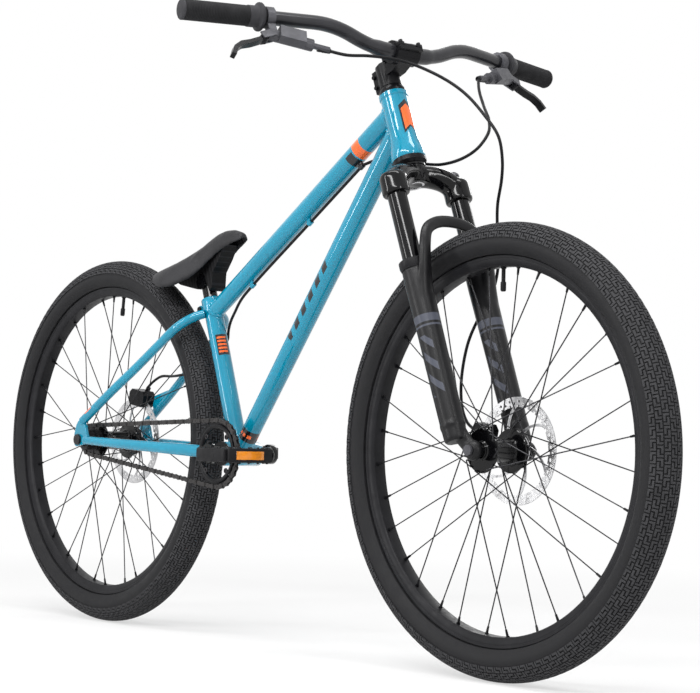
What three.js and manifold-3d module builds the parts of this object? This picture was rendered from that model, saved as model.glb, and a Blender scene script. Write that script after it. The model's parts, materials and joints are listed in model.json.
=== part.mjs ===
import * as THREE from "three";
import { mergeVertices } from "three/addons/utils/BufferGeometryUtils.js";
import Module from "manifold-3d";

// A hardtail dirt jump bike with 26 inch wheels, one gear and two disc brakes.
// Lengths are millimetres. X points forward, Y to the rider's left, Z up.
// The origin is on the ground, midway between the two wheel axles.

// Clearances
const gap = 0.3; // between pieces that touch
const runningGap = 0.6; // round pieces that turn or slide
const overrun = 3; // how far a cutting tool passes through

// Wheels
const wheelRadius = 335;
const wheelbase = 1035;
const tyreWidth = 56;
const tyreWall = 3.5;
const tyreBeadThickness = 3.4;
const rimOuterRadius = 285.5;
const rimInnerRadius = 269;
const rimWidth = 31.6;
const rimInnerWidth = 22;
const rimFlangeThickness = 2.4;
const rimWellDepth = 6.5;
const rimWall = 1.6;
const innerTubeRadius = 19.5;
const innerTubeWall = 1.6;
const valveRadius = 3;
const valveBoreRadius = 1.4;
const valveReach = 36;
const spokeRadius = 1;
const spokeSeatOffset = 4.7;
const wheelSegments = 30;
const innerTubeSegments = 20;
const innerTubeSides = 6;
const spokesPerSide = 16;
const spokeCrossings = 3;
const spokeLacingGap = 1.7; // between the outer and inner spokes at a flange
const frontValveAngle = 90;
const rearValveAngle = 84;
const tyreArcSteps = 6;
const tyreInsideSteps = 4;

// Hubs, rotors and axles
const axleRadius = 5;
const hubBoreClearance = 0.5;
const hubShellRadius = 17;
const hubEndRadius = 9.5;
const hubSealRadius = 13;
const hubEndLength = 7.5;
const flangeRadius = 33;
const flangeThickness = 3;
const spokeCircleRadius = 31;
const rotorMountRadius = 22;
const rotorInset = 15.3; // from the dropout's inner face to the rotor's outer face
const rotorRadius = 80;
const rotorBandWidth = 15;
const rotorThickness = 1.8;
const rotorCentreRadius = 26;
const rotorArmCount = 6;
const rotorSegments = 30;
const rotorArmSweep = 38;
const rotorWindowShare = 0.6;
const frontHubWidth = 100;
const frontFlangeRight = -36.5;
const frontFlangeLeft = 21.5;
const frontNutRadius = 11;
const frontNutThickness = 4;
const frontBoltRadius = 8;
const frontBoltReach = 6.2;
const rearHubWidth = 135;
const rearFlangeRight = -28.5;
const rearFlangeLeft = 35.5;
const rearNutRadius = 10;
const rearNutThickness = 4.7;

// Frame layout
const headAngle = 69;
const seatAngle = 70.5;
const chainstayRun = 401;
const bottomBracketDrop = 17.5;
const seatTubeLength = 285;
const tubeWall = 2;
const tubeSides = 14;
const headTubeLength = 115;
const headTubeTopRadius = 21.5;
const headTubeBottomRadius = 27;
const headTubeFlareLength = 48;
const headTubeBoreRadius = 18.5;
const topTubeSeatRadius = 14.8;
const topTubeHeadRadius = 17;
const topTubeHeadDrop = 27.5;
const topTubeSeatDrop = 26.5;
const downTubeHeadRadius = 18;
const downTubeBottomRadius = 15.8;
const downTubeHeadDrop = 58;
const seatTubeRadius = 15.9;
const seatCollarRadius = 18;
const seatCollarLength = 27;
const seatSlotWidth = 3;
const seatLugRadius = 7;
const seatLugHalf = 14.5;
const seatBoltRadius = 3;
const seatBoltHead = 4;
const seatBoltHeadRadius = 4.8;
const bottomBracketShellRadius = 20.5;
const bottomBracketShellWidth = 73;

// Rear stays and dropouts
const stayRadius = 8;
const chainstayHeight = 23;
const chainstayWidth = 15;
const chainstayTipHeight = 15;
const chainstayRunShares = [0.045, 0.3, 0.6, 0.76, 0.87, 0.965];
const chainstaySpreadShares = [1.045, 0.95, 0.73, 0.59, 0.47, 0.4];
const seatstayRunShares = [0.03, 0.3, 0.52, 0.72, 0.87, 0.955, 0.99];
const seatstaySpreadShares = [1.05, 0.97, 0.86, 0.79, 0.72, 0.5, 0.27];
const seatstayTipRise = 28;
const seatstayTopDrop = 26;
const dropoutThickness = 5.5;
const dropoutReach = 24;
const dropoutRadius = 15;
const brakeTabThickness = 7;
const hoseGuideRadius = 4.6;
const hoseGuideLength = 9;
const hoseGuideShares = [0.2, 0.47, 0.79];
const hoseGuideRise = 7.3;
const hoseRadius = 2.5;
const hoseSides = 8;

// Fork, in a frame whose origin is the top of the head tube and whose Z runs up the steering axis
const forkLength = 481.6; // axle to crown race
const forkOffset = 39.4;
const lowerHeadsetHeight = 12;
const steererRadius = 14.3;
const steererBoreRadius = 11.2;
const stanchionSpread = 65;
const stanchionOffset = 21.3;
const stanchionRadius = 15;
const stanchionWall = 2;
const stanchionLength = 300;
const crownTopDrop = 3; // from the crown race to the crown's flat top
const crownDepth = 34;
const crownBossRadius = 21.5;
const crownBossDrop = 22;
const crownBossHeight = 41;
const crownThickness = 36;
const crownShoulderShare = 0.42;
const crownRaceRadius = 21;
const lowersTopDrop = 175; // below the crown race
const lowersTopRadius = 20.5;
const lowersBottomRadius = 18.5;
const lowersSealRadius = 22.5;
const lowersSealHeight = 14;
const lowersFloor = 16;
const lowersFootDrop = 12; // from the axle up to the foot of a leg
const forkDropoutThickness = 7;
const forkDropoutRadius = 15;
const archDepth = 18;
const archThickness = 13;
const archForward = 31; // ahead of the legs
const archRise = 58; // above the tops of the legs
const archFootDrop = 34;
const archShoulderShare = 0.66;
const knobRadius = 10;
const knobHeight = 8;
const knobStemRadius = 4;

// Headset, stem and handlebar
const upperHeadsetHeight = 12;
const upperHeadsetTopRadius = 17.5;
const stemClampHeight = 38;
const stemClampRadius = 18;
const stemReach = 41;
const barRise = 52; // of the bar's clamp above the head tube
const barClampRadius = 12.7;
const barRadius = 11.1;
const barWall = 2.4;
const stemCradleRadius = 19;
const stemCradleWidth = 46;
const stemRibWidth = 9;
const stemNeckWidth = 28;
const stemNeckDepth = 22;
const capThickness = 5;
const stemBoltRadius = 3.4;
const stemBoltHeadHeight = 3.5;
const stemEarReach = 24; // fore and aft of the bar's middle
const stemEarThickness = 6;
const stemPinchReach = 26; // behind the steerer's middle
const stemPinchWidth = 18;
const stemSlot = 2.4;
const steererRecess = 2;
const topCapThickness = 3.4;
const topCapRadius = 16;
const topCapBoltRadius = 3;
const topCapBoltLength = 30;
const starNutRadius = 10.4;
const cupDepth = 13;
const barBulgeHalf = 48;
const barLowerBend = 62;
const barUpperBend = 132;
const barBendRise = 29;
const barHalfWidth = 381.5;
const barSweepBack = 49;
const barUpsweep = 9.8;
const barBendLength = 18;
const barSteps = 22;
const gripLength = 131;
const gripRadius = 15.5;
const gripFlangeRadius = 22;
const gripFlangeThickness = 6;
const gripRingRadius = 16.4;
const gripRingLength = 13;
const gripEndThickness = 4;

// Brake levers, measured along the bar from their clamp, and away from the bar
const leverClampInset = 12; // from the grip's flange to the clamp's middle
const leverClampWidth = 13;
const leverClampRadius = 17;
const leverDroop = 59; // degrees below straight ahead
const masterStandOff = 34;
const masterRadius = 9.5;
const masterLength = 72;
const masterLean = 12; // degrees, its inboard end further from the bar
const masterOutboard = 8;
const reservoirWidth = 22;
const reservoirHeight = 15;
const reservoirLength = 42;
const hoseNutRadius = 4.6;
const hoseNutLength = 28;
const leverPinRadius = 4;
const leverForkHeight = 18;
const leverBladeHeight = 12;
const leverBladeThickness = 7;
const leverBladeLength = 72;
const leverPivotOutboard = 17;
const leverPivotStandOff = 42;
const leverStandShares = [0.08, 0.17, 0.23, 0.35, 0.54];
const leverOutShares = [0.14, 0.36, 0.58, 0.74, 0.83];

// Calipers
const caliperLength = 48;
const caliperHeight = 30;
const caliperInnerWidth = 9.4;
const caliperOuterWidth = 17;
const caliperSlot = 4;
const caliperChamfer = 7;
const caliperRadius = 81.5;
const rearCaliperAngle = 80;
const frontCaliperAngle = 146;
const frontCaliperRadius = 76;
const caliperBridge = 8;
const caliperFittingReach = 25; // from the caliper's middle
const frontFittingAngle = 90;
const rearFittingAngle = 62;
const pistonCapRadius = 10;
const pistonCapHeight = 3;

// Cranks, chain and cog
const chainPitch = 12.7;
const chainringTeeth = 28;
const cogTeeth = 13;
const cogBoreSides = 16;
const chainLine = 47;
const toothHeight = 3.6;
const chainringThickness = 2.4;
const chainringInnerRadius = 42;
const chainHalfHeight = 4.2;
const chainPlateThickness = 1.3;
const chainInsideWidth = 4.2;
const chainPinEvery = 3;
const rollerRadius = 3.9;
const crankLength = 170;
const crankInset = 56; // from the middle of the bike to an arm's inner face
const crankThickness = 14;
const crankFlare = 11;
const crankBossRadius = 17;
const crankTipRadius = 13.5;
const crankMidWidth = 27;
const spindleRadius = 8.5;
const spindleBoltRadius = 10;
const spindleBoltLength = 4.5;
const spiderReach = 47;
const spiderArmWidth = 15;
const spiderArmCount = 4;
const spiderThickness = 3.4;
const ringBoltRadius = 5;
const cartridgeRadius = 16.8;
const cartridgeFlangeRadius = 21;
const cartridgeFlangeLength = 4;
const freewheelRadius = 18.5;
const freewheelLength = 31;
const driverRadius = 10.2; // of the hub's stub that carries the cog
const driverBearingGap = 0.9;

// Pedals
const pedalWidth = 98;
const pedalLength = 86;
const pedalHeight = 27;
const pedalInset = 8;
const pedalCornerShare = 0.17;
const pedalAxleRadius = 5.5;
const pedalHubRadius = 10.5;
const pedalRail = 13;
const pedalBar = 10;

// Seatpost and saddle
const seatpostRadius = 12.7;
const seatpostWall = 2.2;
const seatpostInsertion = 160;
const saddlePivotRise = 33; // above the seat tube's top, along the seat tube
const saddlePivotRadius = 14;
const saddlePivotWidth = 30;
const saddlePitch = 17;
const saddleTiltDown = 9;
const saddleTiltUp = 1;
const saddleLength = 240;
const saddleNoseReach = 121; // from the pivot forward
const saddleTopRise = 68;
const saddleWidth = 128;
const saddleDepth = 55; // from the crown to the cover's lowest edge
const coverThickness = 9;
const saddleWidthShares = [0.48, 0.82, 0.97, 0.96, 0.83, 0.62, 0.44, 0.35, 0.32, 0.26, 0.13];
const saddleDepthShares = [0.24, 0.52, 0.8, 0.96, 0.98, 0.95, 0.84, 0.76, 0.68, 0.52, 0.26];
const saddleFallShares = [0.18, 0.23, 0.26, 0.27, 0.25, 0.2, 0.11, 0.02, 0, 0.1, 0.36];
const saddleStations = 12;
// Half of the cover's section, as [share of half the width, share of the depth]
const coverOutsideShares = [
  [0, 0],
  [0.32, 0.03],
  [0.6, 0.14],
  [0.82, 0.33],
  [0.95, 0.62],
  [1, 0.88],
  [0.97, 1],
];
const coverInsideShares = [
  [0.84, 1],
  [0.76, 0.42],
  [0.5, 0.12],
  [0, 0],
];
const panEdgeShare = 0.97; // of the cover's inside width
const panThickness = 4;
const keelHalfWidth = 15;
const keelFrontReach = 27;
const keelRearReach = 25;
const keelDrop = 24.5;
const keelRearDrop = 4;

const finishes = {
  teal: { color: 0x0096be, roughness: 0.22, metalness: 0.35 },
  glossBlack: { color: 0x0c0c0e, roughness: 0.2, metalness: 0.3 },
  satinBlack: { color: 0x17171a, roughness: 0.45, metalness: 0.4 },
  magnesium: { color: 0x2a2a2e, roughness: 0.5, metalness: 0.3 },
  rubber: { color: 0x1b1b1c, roughness: 0.85, metalness: 0 },
  grip: { color: 0x232325, roughness: 0.8, metalness: 0 },
  hose: { color: 0x101012, roughness: 0.4, metalness: 0 },
  steel: { color: 0xbdbdc2, roughness: 0.35, metalness: 0.9 },
  darkSteel: { color: 0x4a4a4e, roughness: 0.4, metalness: 0.8 },
  castAlloy: { color: 0x5c5c61, roughness: 0.45, metalness: 0.7 },
  plastic: { color: 0x1a1a1c, roughness: 0.6, metalness: 0 },
  cover: { color: 0x3a3a3e, roughness: 0.65, metalness: 0 },
};

const wasm = await Module();
wasm.setup();

const up = new THREE.Vector3(0, 0, 1);
const left = new THREE.Vector3(0, 1, 0);
const point = (x, y, z) => new THREE.Vector3(x, y, z);
const degrees = THREE.MathUtils.degToRad;
// The radius of a cutter that clears a round piece all round by the gap
const clearOf = (radius, sides) => (radius + gap) / Math.cos(Math.PI / sides);
const ring = (count) => Array.from({ length: count }, (_, index) => index);
const turn = (share) => share * 2 * Math.PI;

// A closed geometry as a solid that can be joined and cut
function asSolid(geometry) {
  const bare = geometry.index ? geometry.toNonIndexed() : geometry.clone();
  bare.deleteAttribute("normal");
  bare.deleteAttribute("uv");
  const merged = mergeVertices(bare, 1e-4);
  const corners = Array.from(merged.index.array);
  const faces = [];
  for (let i = 0; i < corners.length; i += 3) {
    const [a, b, c] = corners.slice(i, i + 3);
    if (a !== b && b !== c && c !== a) faces.push(a, b, c);
  }
  const build = (triVerts) =>
    new wasm.Manifold(
      new wasm.Mesh({
        numProp: 3,
        vertProperties: merged.attributes.position.array,
        triVerts: new Uint32Array(triVerts),
      }),
    );
  const made = build(faces);
  if (made.volume() > 0) return made;
  const turned = [];
  for (let i = 0; i < faces.length; i += 3) turned.push(faces[i], faces[i + 2], faces[i + 1]);
  return build(turned);
}

function asGeometry(solid) {
  const mesh = solid.getMesh();
  const geometry = new THREE.BufferGeometry();
  geometry.setAttribute("position", new THREE.BufferAttribute(mesh.vertProperties, mesh.numProp));
  geometry.setIndex(new THREE.BufferAttribute(mesh.triVerts, 1));
  return geometry;
}

const join = (...geometries) =>
  asGeometry(geometries.map(asSolid).reduce((all, next) => all.add(next)));
const cut = (geometry, ...tools) =>
  asGeometry(tools.map(asSolid).reduce((rest, tool) => rest.subtract(tool), asSolid(geometry)));

// A round bar between two points, which may taper
function rod(start, end, radius, sides = tubeSides, endRadius = radius) {
  const length = start.distanceTo(end);
  const geometry = new THREE.CylinderGeometry(endRadius, radius, length, sides);
  const direction = end.clone().sub(start).normalize();
  const spin = new THREE.Quaternion().setFromUnitVectors(left, direction);
  const middle = start.clone().add(end).multiplyScalar(0.5);
  return geometry.applyQuaternion(spin).translate(middle.x, middle.y, middle.z);
}

// A point on the line from one point towards another, a length beyond the second
function beyond(start, end, length) {
  return end.clone().add(end.clone().sub(start).normalize().multiplyScalar(length));
}

// A round tube with open ends
function pipe(start, end, radius, wall, sides = tubeSides, endRadius = radius) {
  const outside = rod(start, end, radius, sides, endRadius);
  const inside = rod(
    beyond(end, start, overrun),
    beyond(start, end, overrun),
    radius - wall,
    sides,
    endRadius - wall,
  );
  return cut(outside, inside);
}

// A solid turned about the Y axis from rows of [distance along Y, radius]
function turned(rows, sides) {
  const profile = rows.map(([along, radius]) => new THREE.Vector2(radius, along));
  if (rows[0][1] > 0) profile.push(profile[0].clone());
  return new THREE.LatheGeometry(profile, sides);
}

// The same, turned about the Z axis
const turnedUp = (rows, sides) => turned(rows, sides).rotateX(Math.PI / 2);

// A flat plate whose outline lies in the XZ plane, centred on a value of Y
function plate(outline, thickness, y, holes = []) {
  const loop = (pairs) => pairs.map(([x, z]) => new THREE.Vector2(x, z));
  const shape = new THREE.Shape(loop(outline));
  shape.holes.push(...holes.map((hole) => new THREE.Path(loop(hole))));
  const geometry = new THREE.ExtrudeGeometry(shape, {
    depth: thickness,
    bevelEnabled: false,
  });
  return geometry.rotateX(Math.PI / 2).translate(0, y + thickness / 2, 0);
}

function block(lengthX, lengthY, lengthZ, centre) {
  return new THREE.BoxGeometry(lengthX, lengthY, lengthZ).translate(centre.x, centre.y, centre.z);
}

// A smooth bar along a curve, its half width and half height changing from end to end
function sweep(curve, halfWidth, halfHeight, sides, steps, upward = up) {
  const geometry = new THREE.CylinderGeometry(1, 1, 1, sides, steps);
  const places = geometry.attributes.position;
  const spot = new THREE.Vector3();
  for (let i = 0; i < places.count; i += 1) {
    spot.fromBufferAttribute(places, i);
    const share = THREE.MathUtils.clamp(spot.y + 0.5, 0, 1);
    const centre = curve.getPointAt(share);
    const along = curve.getTangentAt(share);
    const across = new THREE.Vector3().crossVectors(along, upward).normalize();
    const over = new THREE.Vector3().crossVectors(across, along).normalize();
    centre.addScaledVector(across, spot.x * halfWidth(share));
    centre.addScaledVector(over, spot.z * halfHeight(share));
    places.setXYZ(i, centre.x, centre.y, centre.z);
  }
  return geometry;
}

const smooth = (points) => new THREE.CatmullRomCurve3(points, false, "centripetal");

// A hose of constant section along hand-placed points
function hose(points, radius, steps) {
  const section = new THREE.Shape();
  ring(hoseSides).forEach((corner) => {
    const angle = turn(corner / hoseSides);
    const place = [radius * Math.cos(angle), radius * Math.sin(angle)];
    if (corner === 0) section.moveTo(...place);
    else section.lineTo(...place);
  });
  const route = smooth(points.map(([x, y, z]) => point(x, y, z)));
  return new THREE.ExtrudeGeometry(section, { steps, extrudePath: route, bevelEnabled: false });
}

const mix = (values, share) => {
  const place = share * (values.length - 1);
  const first = Math.min(Math.floor(place), values.length - 2);
  return THREE.MathUtils.lerp(values[first], values[first + 1], place - first);
};

// Side -1 is the rider's right, side 1 the left
const sideWord = (side) => (side < 0 ? "right" : "left");

const bike = new THREE.Group();

function add(name, geometry, finish, parent = bike) {
  const mesh = new THREE.Mesh(
    asGeometry(asSolid(geometry)),
    new THREE.MeshStandardMaterial({ ...finishes[finish], flatShading: true }),
  );
  mesh.name = name;
  parent.add(mesh);
  return mesh;
}

// Main points of the layout
const axleHeight = wheelRadius;
const rearAxle = point(-wheelbase / 2, 0, axleHeight);
const frontAxle = point(wheelbase / 2, 0, axleHeight);
const steeringUp = point(-Math.cos(degrees(headAngle)), 0, Math.sin(degrees(headAngle)));
const steeringForward = point(Math.sin(degrees(headAngle)), 0, Math.cos(degrees(headAngle)));
const headBottomToAxle = lowerHeadsetHeight + forkLength;
const headTop = frontAxle
  .clone()
  .addScaledVector(steeringForward, -forkOffset)
  .addScaledVector(steeringUp, headBottomToAxle + headTubeLength);
const onSteering = (forward, y, rise) =>
  headTop.clone().addScaledVector(steeringForward, forward).addScaledVector(steeringUp, rise).setY(y);
const bottomBracket = rearAxle.clone().add(point(chainstayRun, 0, -bottomBracketDrop));
const seatUp = point(-Math.cos(degrees(seatAngle)), 0, Math.sin(degrees(seatAngle)));
const onSeat = (rise) => bottomBracket.clone().addScaledVector(seatUp, rise);
const seatTop = onSeat(seatTubeLength);

// The steering group's own frame
const raceDrop = headTubeLength + lowerHeadsetHeight;
const axleDrop = raceDrop + forkLength;
const steering = new THREE.Group();
steering.position.copy(headTop);
steering.rotation.y = -degrees(90 - headAngle);
bike.add(steering);

function buildFrame() {
  const headBottom = onSteering(0, 0, -headTubeLength);
  const rows = [
    [0, headTubeTopRadius],
    [-(headTubeLength - headTubeFlareLength), headTubeTopRadius],
    [-(headTubeLength - headTubeFlareLength / 2), (headTubeTopRadius + headTubeBottomRadius) / 2],
    [-(headTubeLength - headTubeFlareLength / 5), headTubeBottomRadius],
    [-headTubeLength, headTubeBottomRadius],
    [-headTubeLength, headTubeBoreRadius],
    [0, headTubeBoreRadius],
  ];
  add("head_tube", turnedUp(rows, 20), "teal", steering);

  const headCutter = rod(
    beyond(headBottom, headTop, headTubeLength),
    beyond(headTop, headBottom, headTubeLength),
    clearOf(headTubeTopRadius, 20),
    20,
  );
  const flareTop = onSteering(0, 0, -(headTubeLength - headTubeFlareLength));
  const flareEnd = onSteering(0, 0, -(headTubeLength - headTubeFlareLength / 5));
  const flareCutter = join(
    rod(flareTop, flareEnd, clearOf(headTubeTopRadius, 20), 20, clearOf(headTubeBottomRadius, 20)),
    rod(flareEnd, headBottom, clearOf(headTubeBottomRadius, 20), 20),
  );
  const seatCutter = rod(
    onSeat(-bottomBracketShellRadius),
    beyond(bottomBracket, seatTop, overrun),
    clearOf(seatTubeRadius, 16),
    16,
  );
  const collarCutter = rod(
    onSeat(seatTubeLength - seatCollarLength),
    beyond(bottomBracket, seatTop, overrun),
    clearOf(seatCollarRadius, 16),
    16,
  );
  const shellHalf = bottomBracketShellWidth / 2;
  const shellCutter = rod(
    bottomBracket.clone().setY(-shellHalf - overrun),
    bottomBracket.clone().setY(shellHalf + overrun),
    clearOf(bottomBracketShellRadius, 20),
    20,
  );

  const topTubeHead = onSteering(0, 0, -topTubeHeadDrop);
  const topTubeSeat = onSeat(seatTubeLength - topTubeSeatDrop);
  const topTube = pipe(
    topTubeSeat,
    topTubeHead,
    topTubeSeatRadius,
    tubeWall,
    tubeSides,
    topTubeHeadRadius,
  );
  const topTubeSolid = rod(
    topTubeSeat,
    topTubeHead,
    clearOf(topTubeSeatRadius, tubeSides),
    tubeSides,
    clearOf(topTubeHeadRadius, tubeSides),
  );
  const lie = Math.atan2(topTubeHead.z - topTubeSeat.z, topTubeHead.x - topTubeSeat.x);
  const guides = hoseGuideShares.map((share) => {
    const centre = guidePlace(share, 0);
    const height = hoseGuideRise + hoseGuideRadius;
    return block(hoseGuideLength, hoseGuideRadius * 2, height, point(0, 0, height / 2 - hoseGuideRadius))
      .rotateY(-lie)
      .translate(centre.x, 0, centre.z);
  });
  const guideBores = hoseGuideShares.map((share) =>
    rod(
      guidePlace(share, -hoseGuideLength),
      guidePlace(share, hoseGuideLength),
      clearOf(hoseRadius, 8) + gap,
      8,
    ),
  );
  add(
    "top_tube",
    cut(join(topTube, ...guides), ...guideBores, headCutter, seatCutter, collarCutter),
    "teal",
  );

  const downTubeHead = onSteering(0, 0, -downTubeHeadDrop);
  const downTube = pipe(
    bottomBracket,
    downTubeHead,
    downTubeBottomRadius,
    tubeWall,
    tubeSides,
    downTubeHeadRadius,
  );
  add(
    "down_tube",
    cut(downTube, headCutter, flareCutter, topTubeSolid, shellCutter, seatCutter),
    "teal",
  );

  const collar = rod(onSeat(seatTubeLength - seatCollarLength), seatTop, seatCollarRadius, 16);
  const seatTubeBody = rod(bottomBracket, seatTop, seatTubeRadius, 16);
  const seatBore = rod(
    onSeat(0),
    beyond(bottomBracket, seatTop, overrun),
    seatpostRadius + runningGap,
    16,
  );
  const clampCentre = onSeat(seatTubeLength - seatCollarLength / 2);
  const slot = block(
    seatCollarRadius + seatpostRadius,
    seatSlotWidth,
    seatCollarLength,
    point(-(seatCollarRadius + seatpostRadius) / 2, 0, 0),
  )
    .rotateY(-degrees(90 - seatAngle))
    .translate(clampCentre.x, 0, clampCentre.z);
  const lug = rod(clampBoltPoint(-seatLugHalf), clampBoltPoint(seatLugHalf), seatLugRadius, 8);
  const boltHole = rod(
    clampBoltPoint(-seatLugHalf - overrun),
    clampBoltPoint(seatLugHalf + overrun),
    clearOf(seatBoltRadius, 8),
    8,
  );
  add("seat_tube", cut(join(seatTubeBody, collar, lug), seatBore, slot, boltHole, shellCutter), "teal");
  const bolt = rod(
    clampBoltPoint(-seatLugHalf - seatBoltHead),
    clampBoltPoint(seatLugHalf + seatBoltHead),
    seatBoltRadius,
    8,
  );
  const heads = [-1, 1].map((side) =>
    rod(
      clampBoltPoint(side * (seatLugHalf + gap)),
      clampBoltPoint(side * (seatLugHalf + seatBoltHead)),
      seatBoltHeadRadius,
      8,
    ),
  );
  add("seat_clamp_bolt", join(bolt, ...heads), "satinBlack");

  const shell = pipe(
    bottomBracket.clone().setY(-shellHalf),
    bottomBracket.clone().setY(shellHalf),
    bottomBracketShellRadius,
    bottomBracketShellRadius - cartridgeRadius - runningGap,
    20,
  );
  add("bottom_bracket_shell", shell, "teal");
  return { shellCutter, seatCutter, collarCutter };
}

// The seat clamp's cross bolt lies behind the seatpost
function clampBoltPoint(y) {
  const place = onSeat(seatTubeLength - seatCollarLength / 2);
  const back = seatpostRadius + seatBoltRadius + runningGap * 2;
  return place.clone().addScaledVector(point(seatUp.z, 0, -seatUp.x), -back).setY(y);
}

// A place on the hose line under the top tube, a length ahead of one guide's middle
function guidePlace(share, ahead) {
  const head = onSteering(0, 0, -topTubeHeadDrop);
  const seat = onSeat(seatTubeLength - topTubeSeatDrop);
  const direction = head.clone().sub(seat).normalize();
  const under = point(direction.z, 0, -direction.x);
  const radius = THREE.MathUtils.lerp(topTubeHeadRadius, topTubeSeatRadius, share);
  const flat = radius * Math.cos(Math.PI / tubeSides);
  const middle = head.clone().lerp(seat, share);
  return middle.addScaledVector(under, flat + hoseGuideRise - gap).addScaledVector(direction, ahead);
}

// A stay's middle line, spread from the wheel by shares of the hub's half width
function stayCurve(runShares, spreadShares, heightAt, side, run) {
  const half = rearHubWidth / 2;
  const places = runShares.map((share, index) =>
    point(rearAxle.x + share * run, side * spreadShares[index] * half, heightAt(share)),
  );
  return smooth(places);
}

function buildStays(side, cutters) {
  const word = sideWord(side);
  const chainstayRise = (share) => THREE.MathUtils.lerp(axleHeight, bottomBracket.z, share);
  const chainstay = stayCurve(
    chainstayRunShares,
    chainstaySpreadShares,
    chainstayRise,
    side,
    chainstayRun,
  );
  const stay = sweep(
    chainstay,
    () => chainstayWidth / 2,
    (share) => THREE.MathUtils.lerp(chainstayTipHeight, chainstayHeight, share) / 2,
    10,
    9,
  );
  const seatTopJoint = onSeat(seatTubeLength - seatstayTopDrop);
  const seatRun = seatTopJoint.x - rearAxle.x;
  const seatRise = (share) =>
    THREE.MathUtils.lerp(axleHeight + seatstayTipRise, seatTopJoint.z, share);
  const seatstay = stayCurve(seatstayRunShares, seatstaySpreadShares, seatRise, side, seatRun);
  const upperStay = sweep(seatstay, () => stayRadius, () => stayRadius, 10, 11);

  // The dropout plate carries the axle in a slot that opens backwards
  const plateY = side * (rearHubWidth / 2 + dropoutThickness / 2);
  const reach = dropoutReach;
  const outline = [
    [-dropoutRadius, dropoutRadius * 0.75],
    [-dropoutRadius, -dropoutRadius * 0.8],
    [reach, -chainstayTipHeight / 2],
    [reach * 1.2, chainstayTipHeight / 2],
    [reach * 0.9, seatstayTipRise],
    [0, seatstayTipRise + stayRadius],
    [-dropoutRadius * 0.6, seatstayTipRise],
  ].map(([x, z]) => [rearAxle.x + x, rearAxle.z + z]);
  const dropout = plate(outline, dropoutThickness, plateY);
  const slot = join(
    rod(
      rearAxle.clone().setY(plateY - dropoutThickness),
      rearAxle.clone().setY(plateY + dropoutThickness),
      axleRadius + gap,
      12,
    ),
    block(
      dropoutRadius * 2,
      dropoutThickness * 2,
      axleRadius * 2,
      rearAxle.clone().add(point(-dropoutRadius, plateY, 0)),
    ),
  );
  const seatstaySolid = sweep(seatstay, () => stayRadius + gap, () => stayRadius + gap, 10, 11);
  const pieces = [stay, dropout];
  const lower = cut(join(...pieces), slot, seatstaySolid, cutters.shellCutter, cutters.seatCutter);
  add("chainstay_" + word, lower, "teal");

  const upperPieces = [upperStay];
  if (side > 0) upperPieces.push(brakeTab(seatstay));
  add("seatstay_" + word, cut(join(...upperPieces), cutters.seatCutter, cutters.collarCutter), "teal");
}

// A lug on the left seatstay that carries the rear caliper
function brakeTab(seatstay) {
  const low = seatstay.getPointAt(0.1);
  const high = seatstay.getPointAt(0.34);
  const y = rearHubWidth / 2 - rotorInset + rotorThickness + caliperSlot;
  const caliper = caliperCentre(rearAxle, rearCaliperAngle, caliperRadius);
  const outline = [
    [low.x, low.z],
    [high.x, high.z],
    [caliper.x + caliperLength * 0.7, caliper.z + caliperHeight * 0.15],
    [caliper.x + caliperLength * 0.56, caliper.z - caliperHeight * 0.5],
  ];
  return plate(outline, brakeTabThickness, y + brakeTabThickness);
}

function caliperCentre(axle, angle, radius) {
  return axle
    .clone()
    .add(point(Math.cos(degrees(angle)) * radius, 0, Math.sin(degrees(angle)) * radius));
}

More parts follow.
